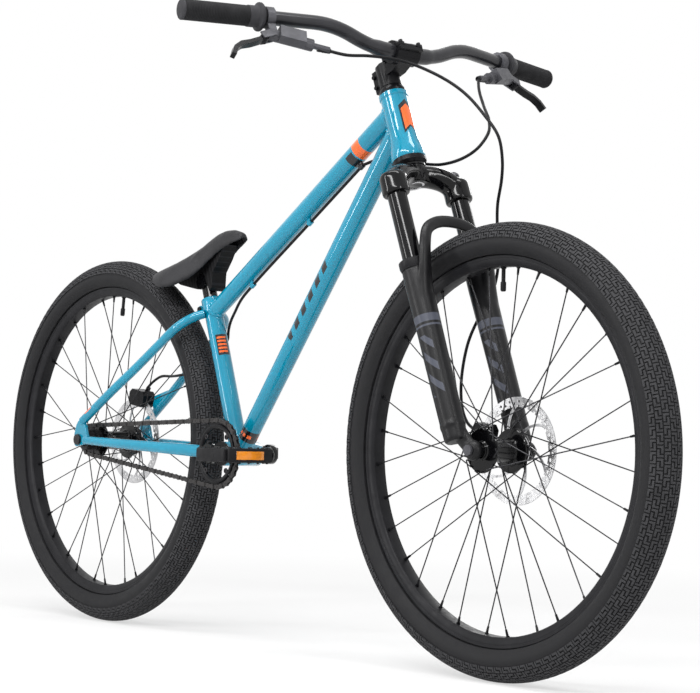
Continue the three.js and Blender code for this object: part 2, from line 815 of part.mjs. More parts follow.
// The crown, steerer and two stanchions, pressed together for good
function buildForkUpper() {
  const race = -raceDrop;
  const steerer = rod(
    point(0, 0, race - crownThickness / 2),
    point(0, 0, upperHeadsetHeight + stemClampHeight - steererRecess),
    steererRadius,
    16,
  );
  const steererBore = rod(
    point(0, 0, race - crownThickness - overrun),
    point(0, 0, upperHeadsetHeight + stemClampHeight + overrun),
    steererBoreRadius,
    12,
  );
  const raceRing = rod(
    point(0, 0, race - crownTopDrop - overrun),
    point(0, 0, race - gap),
    crownRaceRadius,
    16,
  );
  const top = race - crownTopDrop;
  const bossTop = race - crownBossDrop;
  const bossBottom = bossTop - crownBossHeight;
  const shoulder = stanchionSpread * crownShoulderShare;
  const outer = stanchionSpread + crownBossRadius * 0.5;
  const half = [
    [0, top],
    [shoulder, top],
    [stanchionSpread, bossTop],
    [outer, bossTop],
    [outer, bossBottom],
    [stanchionSpread - crownBossRadius * 0.6, bossBottom],
    [shoulder, top - crownThickness * 1.06],
    [0, top - crownThickness * 0.88],
  ];
  const mirrored = half.map(([y, z]) => [-y, z]).reverse();
  const outline = [...half, ...mirrored.slice(1, -1)];
  const bridgeShape = new THREE.Shape(outline.map(([y, z]) => new THREE.Vector2(y, z)));
  const bridge = new THREE.ExtrudeGeometry(bridgeShape, { depth: crownDepth, bevelEnabled: false });
  const middle = stanchionOffset / 2;
  bridge.rotateX(Math.PI / 2).rotateZ(Math.PI / 2);
  bridge.translate(middle - crownDepth / 2, 0, 0);
  const sides = [-1, 1];
  const legPoint = (side, z) => point(stanchionOffset, side * stanchionSpread, z);
  const bosses = sides.map((side) =>
    rod(legPoint(side, bossBottom), legPoint(side, bossTop), crownBossRadius, 14),
  );
  const hub = rod(point(0, 0, top - crownThickness * 0.8), point(0, 0, top), crownRaceRadius + 4, 16);
  const stanchions = sides.map((side) =>
    rod(legPoint(side, bossTop - stanchionLength), legPoint(side, bossTop - gap), stanchionRadius, 14),
  );
  const bores = sides.map((side) =>
    rod(
      legPoint(side, bossTop - stanchionLength - overrun),
      legPoint(side, bossTop - crownBossHeight / 2),
      stanchionRadius - stanchionWall,
      10,
    ),
  );
  const knobHole = rod(
    legPoint(1, bossTop - crownBossHeight),
    legPoint(1, bossTop + overrun),
    clearOf(knobStemRadius, 12),
    12,
  );
  const knobSeat = rod(
    legPoint(1, bossTop),
    legPoint(1, bossTop + crownBossHeight),
    clearOf(knobRadius, 12),
    12,
  );
  const whole = join(bridge, hub, ...bosses, ...stanchions, steerer, raceRing);
  add("fork_upper", cut(whole, steererBore, ...bores, knobHole, knobSeat), "glossBlack", steering);

  const knobBase = bossTop + gap;
  const knob = turnedUp(
    [
      [-knobHeight, 0],
      [-knobHeight, knobStemRadius],
      [0, knobStemRadius],
      [0, knobRadius],
      [knobHeight * 0.55, knobRadius * 0.92],
      [knobHeight, knobRadius * 0.55],
      [knobHeight, 0],
    ],
    12,
  ).translate(stanchionOffset, stanchionSpread, knobBase);
  add("preload_knob", knob, "castAlloy", steering);
}

// The two legs and their arch, cast in one piece, which slide on the stanchions
function buildForkLowers() {
  const top = -raceDrop - lowersTopDrop;
  const foot = -axleDrop + lowersFootDrop;
  const legPoint = (side, z) => point(stanchionOffset, side * stanchionSpread, z);
  const sides = [-1, 1];
  const legs = sides.map((side) =>
    rod(legPoint(side, foot), legPoint(side, top), lowersBottomRadius, 14, lowersTopRadius),
  );
  const seals = sides.map((side) =>
    rod(legPoint(side, top - lowersSealHeight), legPoint(side, top), lowersSealRadius, 14),
  );
  const bores = sides.map((side) =>
    rod(
      legPoint(side, foot + lowersFloor),
      legPoint(side, top + overrun),
      (stanchionRadius + runningGap) / Math.cos(Math.PI / 14),
      14,
    ),
  );
  const archFoot = top - archFootDrop;
  const ahead = stanchionOffset + archForward - archDepth / 3;
  const inner = stanchionSpread - lowersTopRadius * 0.2;
  const archPoints = [
    [ahead, inner, archFoot],
    [stanchionOffset + archForward, inner, top + archRise * 0.1],
    [stanchionOffset + archForward, inner - archThickness * 0.2, top + archRise * 0.5],
    [stanchionOffset + archForward, stanchionSpread * archShoulderShare, top + archRise * 0.86],
    [stanchionOffset + archForward, 0, top + archRise],
  ];
  const mirrored = archPoints
    .slice(0, -1)
    .reverse()
    .map(([x, y, z]) => [x, -y, z]);
  const archCurve = smooth([...archPoints, ...mirrored].map(([x, y, z]) => point(x, y, z)));
  const arch = sweep(
    archCurve,
    () => archThickness / 2,
    () => archDepth / 2,
    6,
    12,
    point(1, 0, 0),
  );
  const dropouts = sides.map((side) => {
    const y = side * (frontHubWidth / 2 + forkDropoutThickness / 2);
    const outline = [
      [stanchionOffset - lowersBottomRadius * 0.8, foot + forkDropoutRadius * 2.2],
      [stanchionOffset - lowersBottomRadius * 0.5, foot - lowersFootDrop * 0.2],
      [forkOffset - forkDropoutRadius * 0.8, -axleDrop - forkDropoutRadius * 0.8],
      [forkOffset + forkDropoutRadius * 0.8, -axleDrop - forkDropoutRadius * 0.8],
      [forkOffset + forkDropoutRadius, -axleDrop + forkDropoutRadius * 0.5],
      [stanchionOffset + lowersBottomRadius * 0.9, foot + forkDropoutRadius * 2.2],
    ];
    return plate(outline, forkDropoutThickness, y);
  });
  const axlePoint = (y) => point(forkOffset, y, -axleDrop);
  const slots = sides.map((side) => {
    const y = side * (frontHubWidth / 2 + forkDropoutThickness / 2);
    return join(
      rod(
        axlePoint(y - forkDropoutThickness),
        axlePoint(y + forkDropoutThickness),
        clearOf(axleRadius, 12),
        12,
      ),
      block(
        axleRadius * 2,
        forkDropoutThickness * 2,
        forkDropoutRadius * 2,
        axlePoint(y).add(point(0, 0, -forkDropoutRadius)),
      ),
    );
  });
  const mount = frontCaliperMount();
  const hubClear = sides.map((side) =>
    rod(
      axlePoint(0),
      axlePoint(side * (frontHubWidth / 2)),
      forkDropoutRadius * 1.7,
      16,
    ),
  );
  const cast = join(...legs, ...seals, ...dropouts, arch, mount);
  add("fork_lowers", cut(cast, ...bores, ...slots, ...hubClear), "magnesium", steering);
  const head = (side, near, far, radius) =>
    rod(axlePoint(side * near), axlePoint(side * far), radius, 12);
  const seat = frontHubWidth / 2 + forkDropoutThickness + gap;
  const washer = seat + frontNutThickness;
  const axle = join(
    rod(axlePoint(-washer), axlePoint(washer), axleRadius, 12),
    ...sides.map((side) => head(side, seat, washer, frontNutRadius)),
    ...sides.map((side) => head(side, washer, washer + frontBoltReach, frontBoltRadius)),
  );
  add("front_axle", axle, "darkSteel", steering);
}

const forkAxle = () => point(forkOffset, 0, -axleDrop);
const frontRotorY = frontHubWidth / 2 - rotorInset;
const rearRotorY = rearHubWidth / 2 - rotorInset;

// Where each caliper sits about its axle, and which way its hose fitting points
function caliperSeat(axle, angle, radius, rotorY, fittingAngle) {
  const centre = caliperCentre(axle, angle, radius).setY(rotorY - rotorThickness / 2);
  const spin = -degrees(angle - 90);
  const way = point(Math.cos(degrees(fittingAngle)), 0, Math.sin(degrees(fittingAngle)));
  const local = (reach) => way.clone().multiplyScalar(reach).setY(caliperOuterWidth / 2);
  const place = (reach) => local(reach).applyAxisAngle(left, spin).add(centre);
  return { centre, spin, local, place };
}
const frontCaliper = caliperSeat(
  forkAxle(),
  frontCaliperAngle,
  frontCaliperRadius,
  frontRotorY,
  frontFittingAngle,
);
const rearCaliper = caliperSeat(rearAxle, rearCaliperAngle, caliperRadius, rearRotorY, rearFittingAngle);

// A two-piston caliper astride a rotor, its bridge outside the rotor's edge
function caliperBody(seat) {
  const half = caliperLength / 2;
  const tall = caliperHeight / 2;
  const cornered = [
    [-half, -tall + caliperChamfer],
    [-half + caliperChamfer, -tall],
    [half - caliperChamfer, -tall],
    [half, -tall + caliperChamfer],
    [half, tall - caliperChamfer],
    [half - caliperChamfer, tall],
    [-half + caliperChamfer, tall],
    [-half, tall - caliperChamfer],
  ];
  const offset = (caliperOuterWidth - caliperInnerWidth) / 2;
  const body = plate(cornered, caliperInnerWidth + caliperOuterWidth, offset);
  const slot = block(
    caliperLength + overrun * 2,
    caliperSlot,
    caliperHeight,
    point(0, 0, -caliperBridge),
  );
  const pistonCap = rod(
    point(0, caliperOuterWidth - pistonCapHeight, -caliperBridge / 2),
    point(0, caliperOuterWidth + pistonCapHeight, -caliperBridge / 2),
    pistonCapRadius,
    12,
  );
  const fitting = rod(seat.local(tall / 2), seat.local(caliperFittingReach), hoseNutRadius, 8);
  const geometry = cut(join(body, pistonCap, fitting), slot);
  return geometry.rotateY(seat.spin).translate(seat.centre.x, seat.centre.y, seat.centre.z);
}

// A lug behind the left leg that carries the front caliper
function frontCaliperMount() {
  const centre = caliperCentre(forkAxle(), frontCaliperAngle, frontCaliperRadius);
  const y = stanchionSpread - lowersBottomRadius * 0.55;
  const outline = [
    [stanchionOffset, centre.z + caliperLength * 1.05],
    [centre.x + caliperHeight * 0.05, centre.z + caliperLength * 0.75],
    [centre.x + caliperHeight * 0.6, centre.z + caliperLength * 0.1],
    [centre.x + caliperHeight * 0.95, centre.z - caliperLength * 0.35],
    [stanchionOffset, centre.z - caliperLength * 0.35],
  ];
  return plate(outline, brakeTabThickness, y);
}

function buildCalipers() {
  add("front_caliper", caliperBody(frontCaliper), "satinBlack", steering);
  add("rear_caliper", caliperBody(rearCaliper), "satinBlack");
}

// A wheel about its own axle: tyre, tube, rim, spokes, hub and rotor
function buildWheel(word, centre, parent, sizes) {
  const wheel = new THREE.Group();
  wheel.position.copy(centre);
  parent.add(wheel);
  const tilt = parent === steering ? degrees(90 - headAngle) : 0;
  wheel.rotation.y = tilt;
  const section = tyreWidth / 2;
  const crown = wheelRadius - section;
  const beadRadius = rimOuterRadius - rimWellDepth + gap;
  const beadTop = rimOuterRadius + gap * 3;
  const bead = rimWidth / 2 - rimFlangeThickness - gap;
  const edge = Math.acos((beadTop - crown) / section);
  const inside = section - tyreWall;
  const shoulder = beadTop + tyreWall / 2;
  const insideEdge = Math.acos((beadTop + tyreWall - crown) / inside);
  const arc = (radius, steps, from, to) =>
    ring(steps + 1).map((step) => {
      const angle = THREE.MathUtils.lerp(from, to, step / steps);
      return [radius * Math.sin(angle), crown + radius * Math.cos(angle)];
    });
  const tyreRows = [
    ...arc(section, tyreArcSteps, -edge, edge),
    [bead, beadTop],
    [bead, beadRadius],
    [bead - tyreBeadThickness, beadRadius],
    [bead - tyreBeadThickness, shoulder],
    ...arc(inside, tyreInsideSteps, insideEdge, -insideEdge),
    [-bead + tyreBeadThickness, shoulder],
    [-bead + tyreBeadThickness, beadRadius],
    [-bead, beadRadius],
    [-bead, beadTop],
  ];
  add(word + "_tyre", turned(tyreRows, wheelSegments), "rubber", wheel);

  const outer = rimWidth / 2;
  const well = rimOuterRadius - rimWellDepth;
  const lip = outer - rimFlangeThickness;
  const rimRows = [
    [-outer, rimOuterRadius],
    [-lip, rimOuterRadius],
    [-lip, well],
    [lip, well],
    [lip, rimOuterRadius],
    [outer, rimOuterRadius],
    [rimInnerWidth / 2, rimInnerRadius],
    [-rimInnerWidth / 2, rimInnerRadius],
  ];
  const hollowTop = well - rimWall;
  const hollowFoot = rimInnerRadius + rimWall;
  const slant = (outer - rimInnerWidth / 2) / (rimOuterRadius - rimInnerRadius);
  const hollowHalf = (radius) => rimInnerWidth / 2 + (radius - rimInnerRadius) * slant - rimWall * 1.5;
  const hollow = [
    [-hollowHalf(hollowTop), hollowTop],
    [hollowHalf(hollowTop), hollowTop],
    [hollowHalf(hollowFoot), hollowFoot],
    [-hollowHalf(hollowFoot), hollowFoot],
  ];
  const valveWay = point(Math.cos(sizes.valveAngle), 0, Math.sin(sizes.valveAngle));
  const along = (radius) => valveWay.clone().multiplyScalar(radius);
  const valveHole = rod(
    along(rimInnerRadius - overrun * 2),
    along(rimOuterRadius + overrun),
    clearOf(valveRadius, 8),
    8,
  );
  const rim = cut(turned(rimRows, wheelSegments), turned(hollow, wheelSegments), valveHole);
  add(word + "_rim", rim, "satinBlack", wheel);

  const tubeRing = (radius) =>
    new THREE.TorusGeometry(crown, radius, innerTubeSides, innerTubeSegments).rotateX(Math.PI / 2);
  const valve = rod(along(rimInnerRadius - valveReach), along(crown), valveRadius, 8);
  const valveBore = rod(along(rimInnerRadius - valveReach - overrun), along(crown), valveBoreRadius, 4);
  const innerTube = cut(join(tubeRing(innerTubeRadius), valve), tubeRing(innerTubeRadius - innerTubeWall), valveBore);
  add(word + "_inner_tube", innerTube, "rubber", wheel);

  [-1, 1].forEach((side) => {
    const flange = side < 0 ? sizes.flangeRight : sizes.flangeLeft;
    const seatY = flange + Math.sign(flange) * spokeSeatOffset;
    const rimY = Math.sign(side) * (rimInnerWidth / 5);
    const reach = (rimInnerRadius - gap) * Math.cos(Math.PI / wheelSegments) - gap;
    const phase = sizes.valveAngle / (2 * Math.PI) + (side < 0 ? 0.25 : 0.75) / spokesPerSide;
    const spokes = ring(spokesPerSide).map((index) => {
      const way = index % 2 ? 1 : -1;
      const hubAngle = turn(phase + (index + spokeCrossings * way) / spokesPerSide);
      const rimAngle = turn(phase + index / spokesPerSide);
      const hubPoint = point(
        spokeCircleRadius * Math.cos(hubAngle),
        seatY + (way * spokeLacingGap) / 2,
        spokeCircleRadius * Math.sin(hubAngle),
      );
      const rimPoint = point(reach * Math.cos(rimAngle), rimY, reach * Math.sin(rimAngle));
      return rod(hubPoint, rimPoint, spokeRadius, 3);
    });
    add(word + "_spokes_" + sideWord(side), join(...spokes), "darkSteel", wheel);
  });

  const half = sizes.width / 2 - gap;
  const sealEnd = half - hubEndLength;
  const mountY = sizes.rotorY - rotorThickness - gap;
  const bore = axleRadius + hubBoreClearance;
  const right = sizes.flangeRight - flangeThickness / 2;
  const leftFlange = sizes.flangeLeft + flangeThickness / 2;
  const rows = [
    [-half, bore],
    [-half, hubEndRadius],
    [-sealEnd, hubEndRadius],
    [-sealEnd, sizes.rightSealRadius],
    [right, sizes.rightSealRadius],
    [right, flangeRadius],
    [right + flangeThickness, flangeRadius],
    [right + flangeThickness, hubShellRadius],
    [leftFlange - flangeThickness, hubShellRadius],
    [leftFlange - flangeThickness, flangeRadius],
    [leftFlange, flangeRadius],
    [leftFlange, rotorMountRadius],
    [mountY, rotorMountRadius],
    [mountY, hubSealRadius],
    [sealEnd, hubSealRadius],
    [sealEnd, hubEndRadius],
    [half, hubEndRadius],
    [half, bore],
  ];
  add(word + "_hub", turned(rows, 15), "glossBlack", wheel);
  add(word + "_rotor", rotor(sizes.rotorY - rotorThickness / 2), "steel", wheel);
  return wheel;
}

// Points round part of a circle, as [across, up] pairs
const arcPoints = (radius, from, to, steps) =>
  ring(steps + 1).map((step) => {
    const angle = THREE.MathUtils.lerp(from, to, step / steps);
    return [radius * Math.cos(angle), radius * Math.sin(angle)];
  });

// A brake disc: a band on six swept arms
function rotor(y) {
  const disc = arcPoints(rotorRadius, 0, turn(1), rotorSegments).slice(1);
  const boreRadius = clearOf(hubSealRadius, 24);
  const bore = arcPoints(boreRadius, turn(1), 0, 16).slice(1);
  const bandInside = rotorRadius - rotorBandWidth;
  const windows = ring(rotorArmCount).map((arm) => {
    const start = turn(arm / rotorArmCount);
    const end = turn((arm + rotorWindowShare) / rotorArmCount);
    const swept = degrees(rotorArmSweep);
    return [
      ...arcPoints(bandInside, start + swept, end + swept, 3),
      ...arcPoints(rotorCentreRadius, end, start, 1),
    ];
  });
  return plate(disc, rotorThickness, y, [bore, ...windows]);
}

function buildWheels() {
  buildWheel("front", forkAxle(), steering, {
    width: frontHubWidth,
    flangeRight: frontFlangeRight,
    rightSealRadius: hubSealRadius,
    flangeLeft: frontFlangeLeft,
    rotorY: frontRotorY,
    valveAngle: degrees(frontValveAngle),
  });
  buildWheel("rear", rearAxle, bike, {
    width: rearHubWidth,
    flangeRight: rearFlangeRight,
    rightSealRadius: driverRadius,
    flangeLeft: rearFlangeLeft,
    rotorY: rearRotorY,
    valveAngle: degrees(rearValveAngle),
  });
  const seat = rearHubWidth / 2 + dropoutThickness + gap;
  const rearPoint = (y) => rearAxle.clone().setY(y);
  const nuts = [-1, 1].map((side) =>
    rod(rearPoint(side * seat), rearPoint(side * (seat + rearNutThickness)), rearNutRadius, 12),
  );
  add("rear_axle", join(rod(rearPoint(-seat), rearPoint(seat), axleRadius, 12), ...nuts), "darkSteel");
}

// Places a shape built along Y so that it runs in a direction from a point
function aimed(geometry, origin, direction) {
  const spin = new THREE.Quaternion().setFromUnitVectors(left, direction);
  return geometry.applyQuaternion(spin).translate(origin.x, origin.y, origin.z);
}

// Cups pressed into the head tube, in which the steerer turns
function buildHeadset() {
  const seat = headTubeBoreRadius - gap;
  const bore = steererRadius + runningGap;
  const upper = [
    [-cupDepth, bore],
    [-cupDepth, seat],
    [gap, seat],
    [gap, headTubeTopRadius],
    [upperHeadsetHeight * 0.4, headTubeTopRadius],
    [upperHeadsetHeight, upperHeadsetTopRadius],
    [upperHeadsetHeight, bore],
  ];
  add("headset_cup_upper", turnedUp(upper, 16), "satinBlack", steering);
  const bottom = -headTubeLength;
  const lower = [
    [bottom + cupDepth, bore],
    [bottom + cupDepth, seat],
    [bottom - gap, seat],
    [bottom - gap, headTubeBottomRadius],
    [bottom - lowerHeadsetHeight * 0.6, headTubeBottomRadius],
    [bottom - lowerHeadsetHeight, headTubeBottomRadius * 0.85],
    [bottom - lowerHeadsetHeight, bore],
  ];
  add("headset_cup_lower", turnedUp(lower, 16), "satinBlack", steering);

  const stemTop = upperHeadsetHeight + gap + stemClampHeight;
  const capBottom = stemTop + gap;
  const cap = [
    [stemTop - topCapBoltLength, 0],
    [stemTop - topCapBoltLength, starNutRadius],
    [stemTop - topCapBoltLength * 0.85, starNutRadius],
    [stemTop - topCapBoltLength * 0.85, topCapBoltRadius],
    [capBottom, topCapBoltRadius],
    [capBottom, topCapRadius],
    [capBottom + topCapThickness, topCapRadius * 0.9],
    [capBottom + topCapThickness, 0],
  ];
  add("headset_top_cap", turnedUp(cap, 12), "satinBlack", steering);
}

const barCentre = (y) => point(stemReach, y, barRise);

// The stem clamps the steerer behind and cradles the bar in front
function buildStem() {
  const bottom = upperHeadsetHeight + gap;
  const top = bottom + stemClampHeight;
  const clamp = rod(point(0, 0, bottom), point(0, 0, top), stemClampRadius, 16);
  const neckTop = barRise - barClampRadius * 0.5;
  const neckOutline = [
    [0, top - stemNeckDepth],
    [stemReach * 0.6, top - stemNeckDepth],
    [stemReach, barRise - stemCradleRadius],
    [stemReach, neckTop],
    [0, neckTop],
  ];
  const neck = plate(neckOutline, stemNeckWidth, 0);
  const cradle = rod(
    barCentre(-stemCradleWidth / 2),
    barCentre(stemCradleWidth / 2),
    stemCradleRadius,
    16,
  );
  const ears = block(
    stemEarReach * 2,
    stemCradleWidth,
    stemEarThickness,
    point(stemReach, 0, barRise - stemEarThickness / 2),
  );
  const pinch = block(
    stemPinchReach,
    stemPinchWidth,
    stemClampHeight,
    point(-stemPinchReach / 2, 0, (top + bottom) / 2),
  );
  const pinchBolts = [0.26, 0.74].map((share) => {
    const rise = bottom + share * stemClampHeight;
    const back = -(stemClampRadius + stemPinchReach) / 2;
    const half = stemPinchWidth / 2 + stemBoltHeadHeight;
    return rod(point(back, -half, rise), point(back, half, rise), stemBoltRadius, 8);
  });
  const steererBore = rod(
    point(0, 0, bottom - overrun),
    point(0, 0, top + overrun),
    clearOf(steererRadius, 16),
    16,
  );
  const slot = block(
    stemPinchReach * 2,
    stemSlot,
    stemClampHeight * 0.36,
    point(-stemPinchReach, 0, (top + bottom) / 2),
  );
  const barBore = rod(
    barCentre(-stemCradleWidth),
    barCentre(stemCradleWidth),
    clearOf(barClampRadius, 16),
    16,
  );
  const upperHalf = block(
    stemCradleRadius * 2,
    stemCradleWidth * 2,
    stemCradleRadius * 2,
    point(stemReach, 0, barRise + stemCradleRadius - gap),
  );
  const body = join(cut(join(cradle, ears, neck), upperHalf), clamp, pinch, ...pinchBolts);
  add("stem", cut(body, steererBore, slot, barBore), "satinBlack", steering);

  const shell = rod(
    barCentre(-stemCradleWidth / 2),
    barCentre(stemCradleWidth / 2),
    barClampRadius + capThickness,
    16,
  );
  const capEars = block(
    stemEarReach * 2,
    stemCradleWidth,
    stemEarThickness,
    point(stemReach, 0, barRise + stemEarThickness / 2),
  );
  const lowerHalf = block(
    stemEarReach * 3,
    stemCradleWidth * 2,
    stemCradleRadius * 2,
    point(stemReach, 0, barRise - stemCradleRadius + gap * 2),
  );
  const window = block(
    stemEarReach * 3,
    stemCradleWidth - stemRibWidth * 2,
    stemCradleRadius * 2,
    point(stemReach, 0, barRise + stemCradleRadius * 1.6),
  );
  const earWindows = [-1, 1].map((side) =>
    block(
      stemEarReach,
      stemCradleWidth - stemRibWidth * 2,
      stemEarThickness * 3,
      point(stemReach + side * (stemCradleRadius + stemEarReach / 2), 0, barRise),
    ),
  );
  const boltAcross = (stemCradleWidth - stemRibWidth) / 2;
  const boltAlong = (barClampRadius + capThickness + stemEarReach) / 2;
  const bolts = [
    [-1, -1],
    [-1, 1],
    [1, -1],
    [1, 1],
  ].map(([fore, side]) => {
    const foot = point(stemReach + fore * boltAlong, side * boltAcross, barRise + stemEarThickness / 2);
    const head = foot.clone().add(point(0, 0, stemEarThickness / 2 + stemBoltHeadHeight));
    return rod(foot, head, stemBoltRadius, 8);
  });
  const cap = cut(join(shell, capEars), lowerHalf, window, ...earWindows, barBore);
  add("stem_faceplate", join(cap, ...bolts), "satinBlack", steering);
}

// A route of straight stretches with a rounded bend at each inner corner
function bent(corners, bend) {
  const route = new THREE.CurvePath();
  let start = corners[0];
  corners.slice(1, -1).forEach((corner, index) => {
    const entry = beyond(corners[index], corner, -bend);
    const exit = beyond(corners[index + 2], corner, -bend);
    route.add(new THREE.LineCurve3(start, entry));
    route.add(new THREE.QuadraticBezierCurve3(entry, corner, exit));
    start = exit;
  });
  route.add(new THREE.LineCurve3(start, corners[corners.length - 1]));
  return route;
}

const roundSection = (radius, sides) =>
  new THREE.Shape(arcPoints(radius, 0, turn(1), sides).slice(1).map(([x, y]) => new THREE.Vector2(x, y)));

const barBend = (side) => point(stemReach, side * barUpperBend, barRise + barBendRise);
const barTip = (side) =>
  point(stemReach - barSweepBack, side * barHalfWidth, barRise + barBendRise + barUpsweep);
const barDirection = (side) => barTip(side).sub(barBend(side)).normalize();
// A point on the bar's straight end, measured inwards from the tip
const alongBar = (side, inward) => barTip(side).addScaledVector(barDirection(side), -inward);

function buildHandlebar() {
  const endInset = gripEndThickness + gap;
  const route = (inset) =>
    bent(
      [
        alongBar(-1, inset),
        barBend(-1),
        barCentre(-barLowerBend),
        barCentre(barLowerBend),
        barBend(1),
        alongBar(1, inset),
      ],
      barBendLength,
    );
  const tube = (radius, inset, sides) =>
    new THREE.ExtrudeGeometry(roundSection(radius, sides), {
      steps: barSteps,
      extrudePath: route(inset),
      bevelEnabled: false,
    });
  const bulge = turned(
    [
      [-barBulgeHalf, 0],
      [-barBulgeHalf, barRadius],
      [-stemCradleWidth / 2 - overrun, barClampRadius],
      [stemCradleWidth / 2 + overrun, barClampRadius],
      [barBulgeHalf, barRadius],
      [barBulgeHalf, 0],
    ],
    12,
  ).translate(stemReach, 0, barRise);
  const bar = cut(join(tube(barRadius, endInset, 8), bulge), tube(barRadius - barWall, -overrun, 5));
  add("handlebar", bar, "satinBlack", steering);

  [-1, 1].forEach((side) => {
    const bore = clearOf(barRadius, 10);
    const rounding = gripEndThickness * 0.75;
    const rows = [
      [0, bore],
      [0, gripFlangeRadius],
      [gripFlangeThickness, gripFlangeRadius],
      [gripFlangeThickness, gripRingRadius],
      [gripFlangeThickness + gripRingLength, gripRingRadius],
      [gripFlangeThickness + gripRingLength, gripRadius],
      [gripLength - rounding, gripRadius],
      [gripLength, gripRadius - rounding],
      [gripLength, 0],
      [gripLength - gripEndThickness, 0],
      [gripLength - gripEndThickness, bore],
    ];
    const grip = aimed(turned(rows, 10), alongBar(side, gripLength), barDirection(side));
    add("grip_" + sideWord(side), grip, "grip", steering);
  });
}

// A brake lever's own frame: X away from the bar, Y towards the bar's end
function leverFrame(side) {
  const outward = barDirection(side);
  const fall = degrees(leverDroop + 90 - headAngle);
  const away = point(Math.cos(fall), 0, -Math.sin(fall));
  away.addScaledVector(outward, -away.dot(outward)).normalize();
  const face = new THREE.Vector3().crossVectors(away, outward);
  const group = new THREE.Group();
  group.position.copy(alongBar(side, gripLength + leverClampInset));
  group.quaternion.setFromRotationMatrix(new THREE.Matrix4().makeBasis(away, outward, face));
  steering.add(group);
  return group;
}

// A flat ribbon along a line of [x, y] places
function ribbon(places, width, depth) {
  const sideOf = (sign) =>
    places.map(([x, y], index) => {
      const [nextX, nextY] = places[Math.min(index + 1, places.length - 1)];
      const [lastX, lastY] = places[Math.max(index - 1, 0)];
      const long = Math.hypot(nextX - lastX, nextY - lastY);
      const reach = (sign * width) / 2 / long;
      return new THREE.Vector2(x - (nextY - lastY) * reach, y + (nextX - lastX) * reach);
    });
  const shape = new THREE.Shape([...sideOf(1), ...sideOf(-1).reverse()]);
  return new THREE.ExtrudeGeometry(shape, { depth, bevelEnabled: false }).translate(0, 0, -depth / 2);
}

function buildBrakeLever(side) {
  const word = sideWord(side);
  const group = leverFrame(side);
  const clampRing = rod(
    point(0, -leverClampWidth / 2, 0),
    point(0, leverClampWidth / 2, 0),
    leverClampRadius,
    12,
  );
  const clampBore = rod(
    point(0, -leverClampWidth, 0),
    point(0, leverClampWidth, 0),
    clearOf(barRadius, 10),
    10,
  );
  const neck = block(
    masterStandOff,
    leverClampWidth,
    leverBladeHeight,
    point(masterStandOff / 2, 0, 0),
  );
  const lean = degrees(masterLean);
  const onMaster = (along) =>
    point(masterStandOff - Math.sin(lean) * along, Math.cos(lean) * along, 0);
  const inboard = masterOutboard - masterLength;
  const nutEnd = inboard - hoseNutLength;
  const barrel = rod(onMaster(inboard), onMaster(masterOutboard), masterRadius, 10);
  const middle = onMaster((inboard + masterOutboard) / 2);
  const reservoir = block(
    reservoirWidth,
    reservoirLength,
    reservoirHeight,
    point(0, 0, (side * reservoirHeight) / 2),
  )
    .rotateZ(lean)
    .translate(middle.x, middle.y, 0);
  const nut = rod(onMaster(nutEnd), onMaster(inboard + overrun), hoseNutRadius, 8);
  const pivot = (z) => point(leverPivotStandOff, leverPivotOutboard, z);
  const earThickness = (leverForkHeight - leverBladeHeight) / 2 - gap;
  const ears = [-1, 1].map((face) => {
    const z = face * (leverForkHeight / 2 - earThickness / 2);
    const places = [
      [masterStandOff, 0],
      [masterStandOff + masterRadius * 0.3, masterOutboard],
      [leverPivotStandOff, leverPivotOutboard + leverPinRadius * 1.4],
    ];
    return ribbon(places, leverPinRadius * 3, earThickness).translate(0, 0, z);
  });
  const pin = rod(pivot(-leverForkHeight / 2), pivot(leverForkHeight / 2), leverPinRadius, 12);
  const master = cut(join(clampRing, neck, barrel, reservoir, nut, ...ears, pin), clampBore);
  add("brake_master_" + word, master, "castAlloy", group);

  const boss = rod(pivot(-leverBladeHeight / 2), pivot(leverBladeHeight / 2), leverPinRadius * 1.7, 12);
  const pinHole = rod(
    pivot(-leverBladeHeight),
    pivot(leverBladeHeight),
    clearOf(leverPinRadius, 12) + gap,
    12,
  );
  const line = leverOutShares.map((share, index) => [
    leverPivotStandOff + leverStandShares[index] * leverBladeLength,
    leverPivotOutboard + share * leverBladeLength,
  ]);
  line.unshift([leverPivotStandOff, leverPivotOutboard]);
  const blade = ribbon(line, leverBladeThickness, leverBladeHeight);
  add("brake_lever_" + word, cut(join(boss, blade), pinHole), "satinBlack", group);

  const port = onMaster(nutEnd - gap);
  const inboardWay = onMaster(nutEnd - hoseNutRadius * 3);
  bike.updateMatrixWorld(true);
  return [port, inboardWay].map((place) => group.localToWorld(place));
}

// Hose routes, from lever to caliper, in the bike's own frame
const frontHoseRoute = [
  [303, -130, 928],
  [307, -90, 932],
  [312, -50, 933],
  [322, -12, 928],
  [356, 22, 906],
  [386, 40, 881],
  [417, 50, 847],
  [442, 58, 811],
  [443, 66, 777],
  [432, 76, 748],
  [414, 86, 712],
  [407, 93, 680],
  [408, 97, 640],
  [402, 95, 590],
  [392, 85, 556],
  [387, 70, 528],
  [382, 58, 495],
  [373, 55, 440],
  [377, 54, 400],
];
const rearLoopRoute = [
  [320, 132, 906],
  [361, 104, 872],
  [400, 78, 842],
  [421, 56, 817],
  [416, 40, 794],
  [388, 36, 781],
  [338, 37, 776],
  [292, 36, 781],
  [264, 34, 782],
  [242, 27, 785],
  [224, 13, 793],
];
const rearHoseRoute = [
  [-128, 3, 582],
  [-151, 8, 563],
  [-169, 12, 546],
  [-180, 16, 531],
  [-190, 22, 516],
  [-222, 34, 505],
  [-262, 38, 493],
  [-302, 39, 477],
  [-332, 40, 460],
  [-362, 41, 456],
  [-401, 50, 455],
  [-440, 54, 455],
];

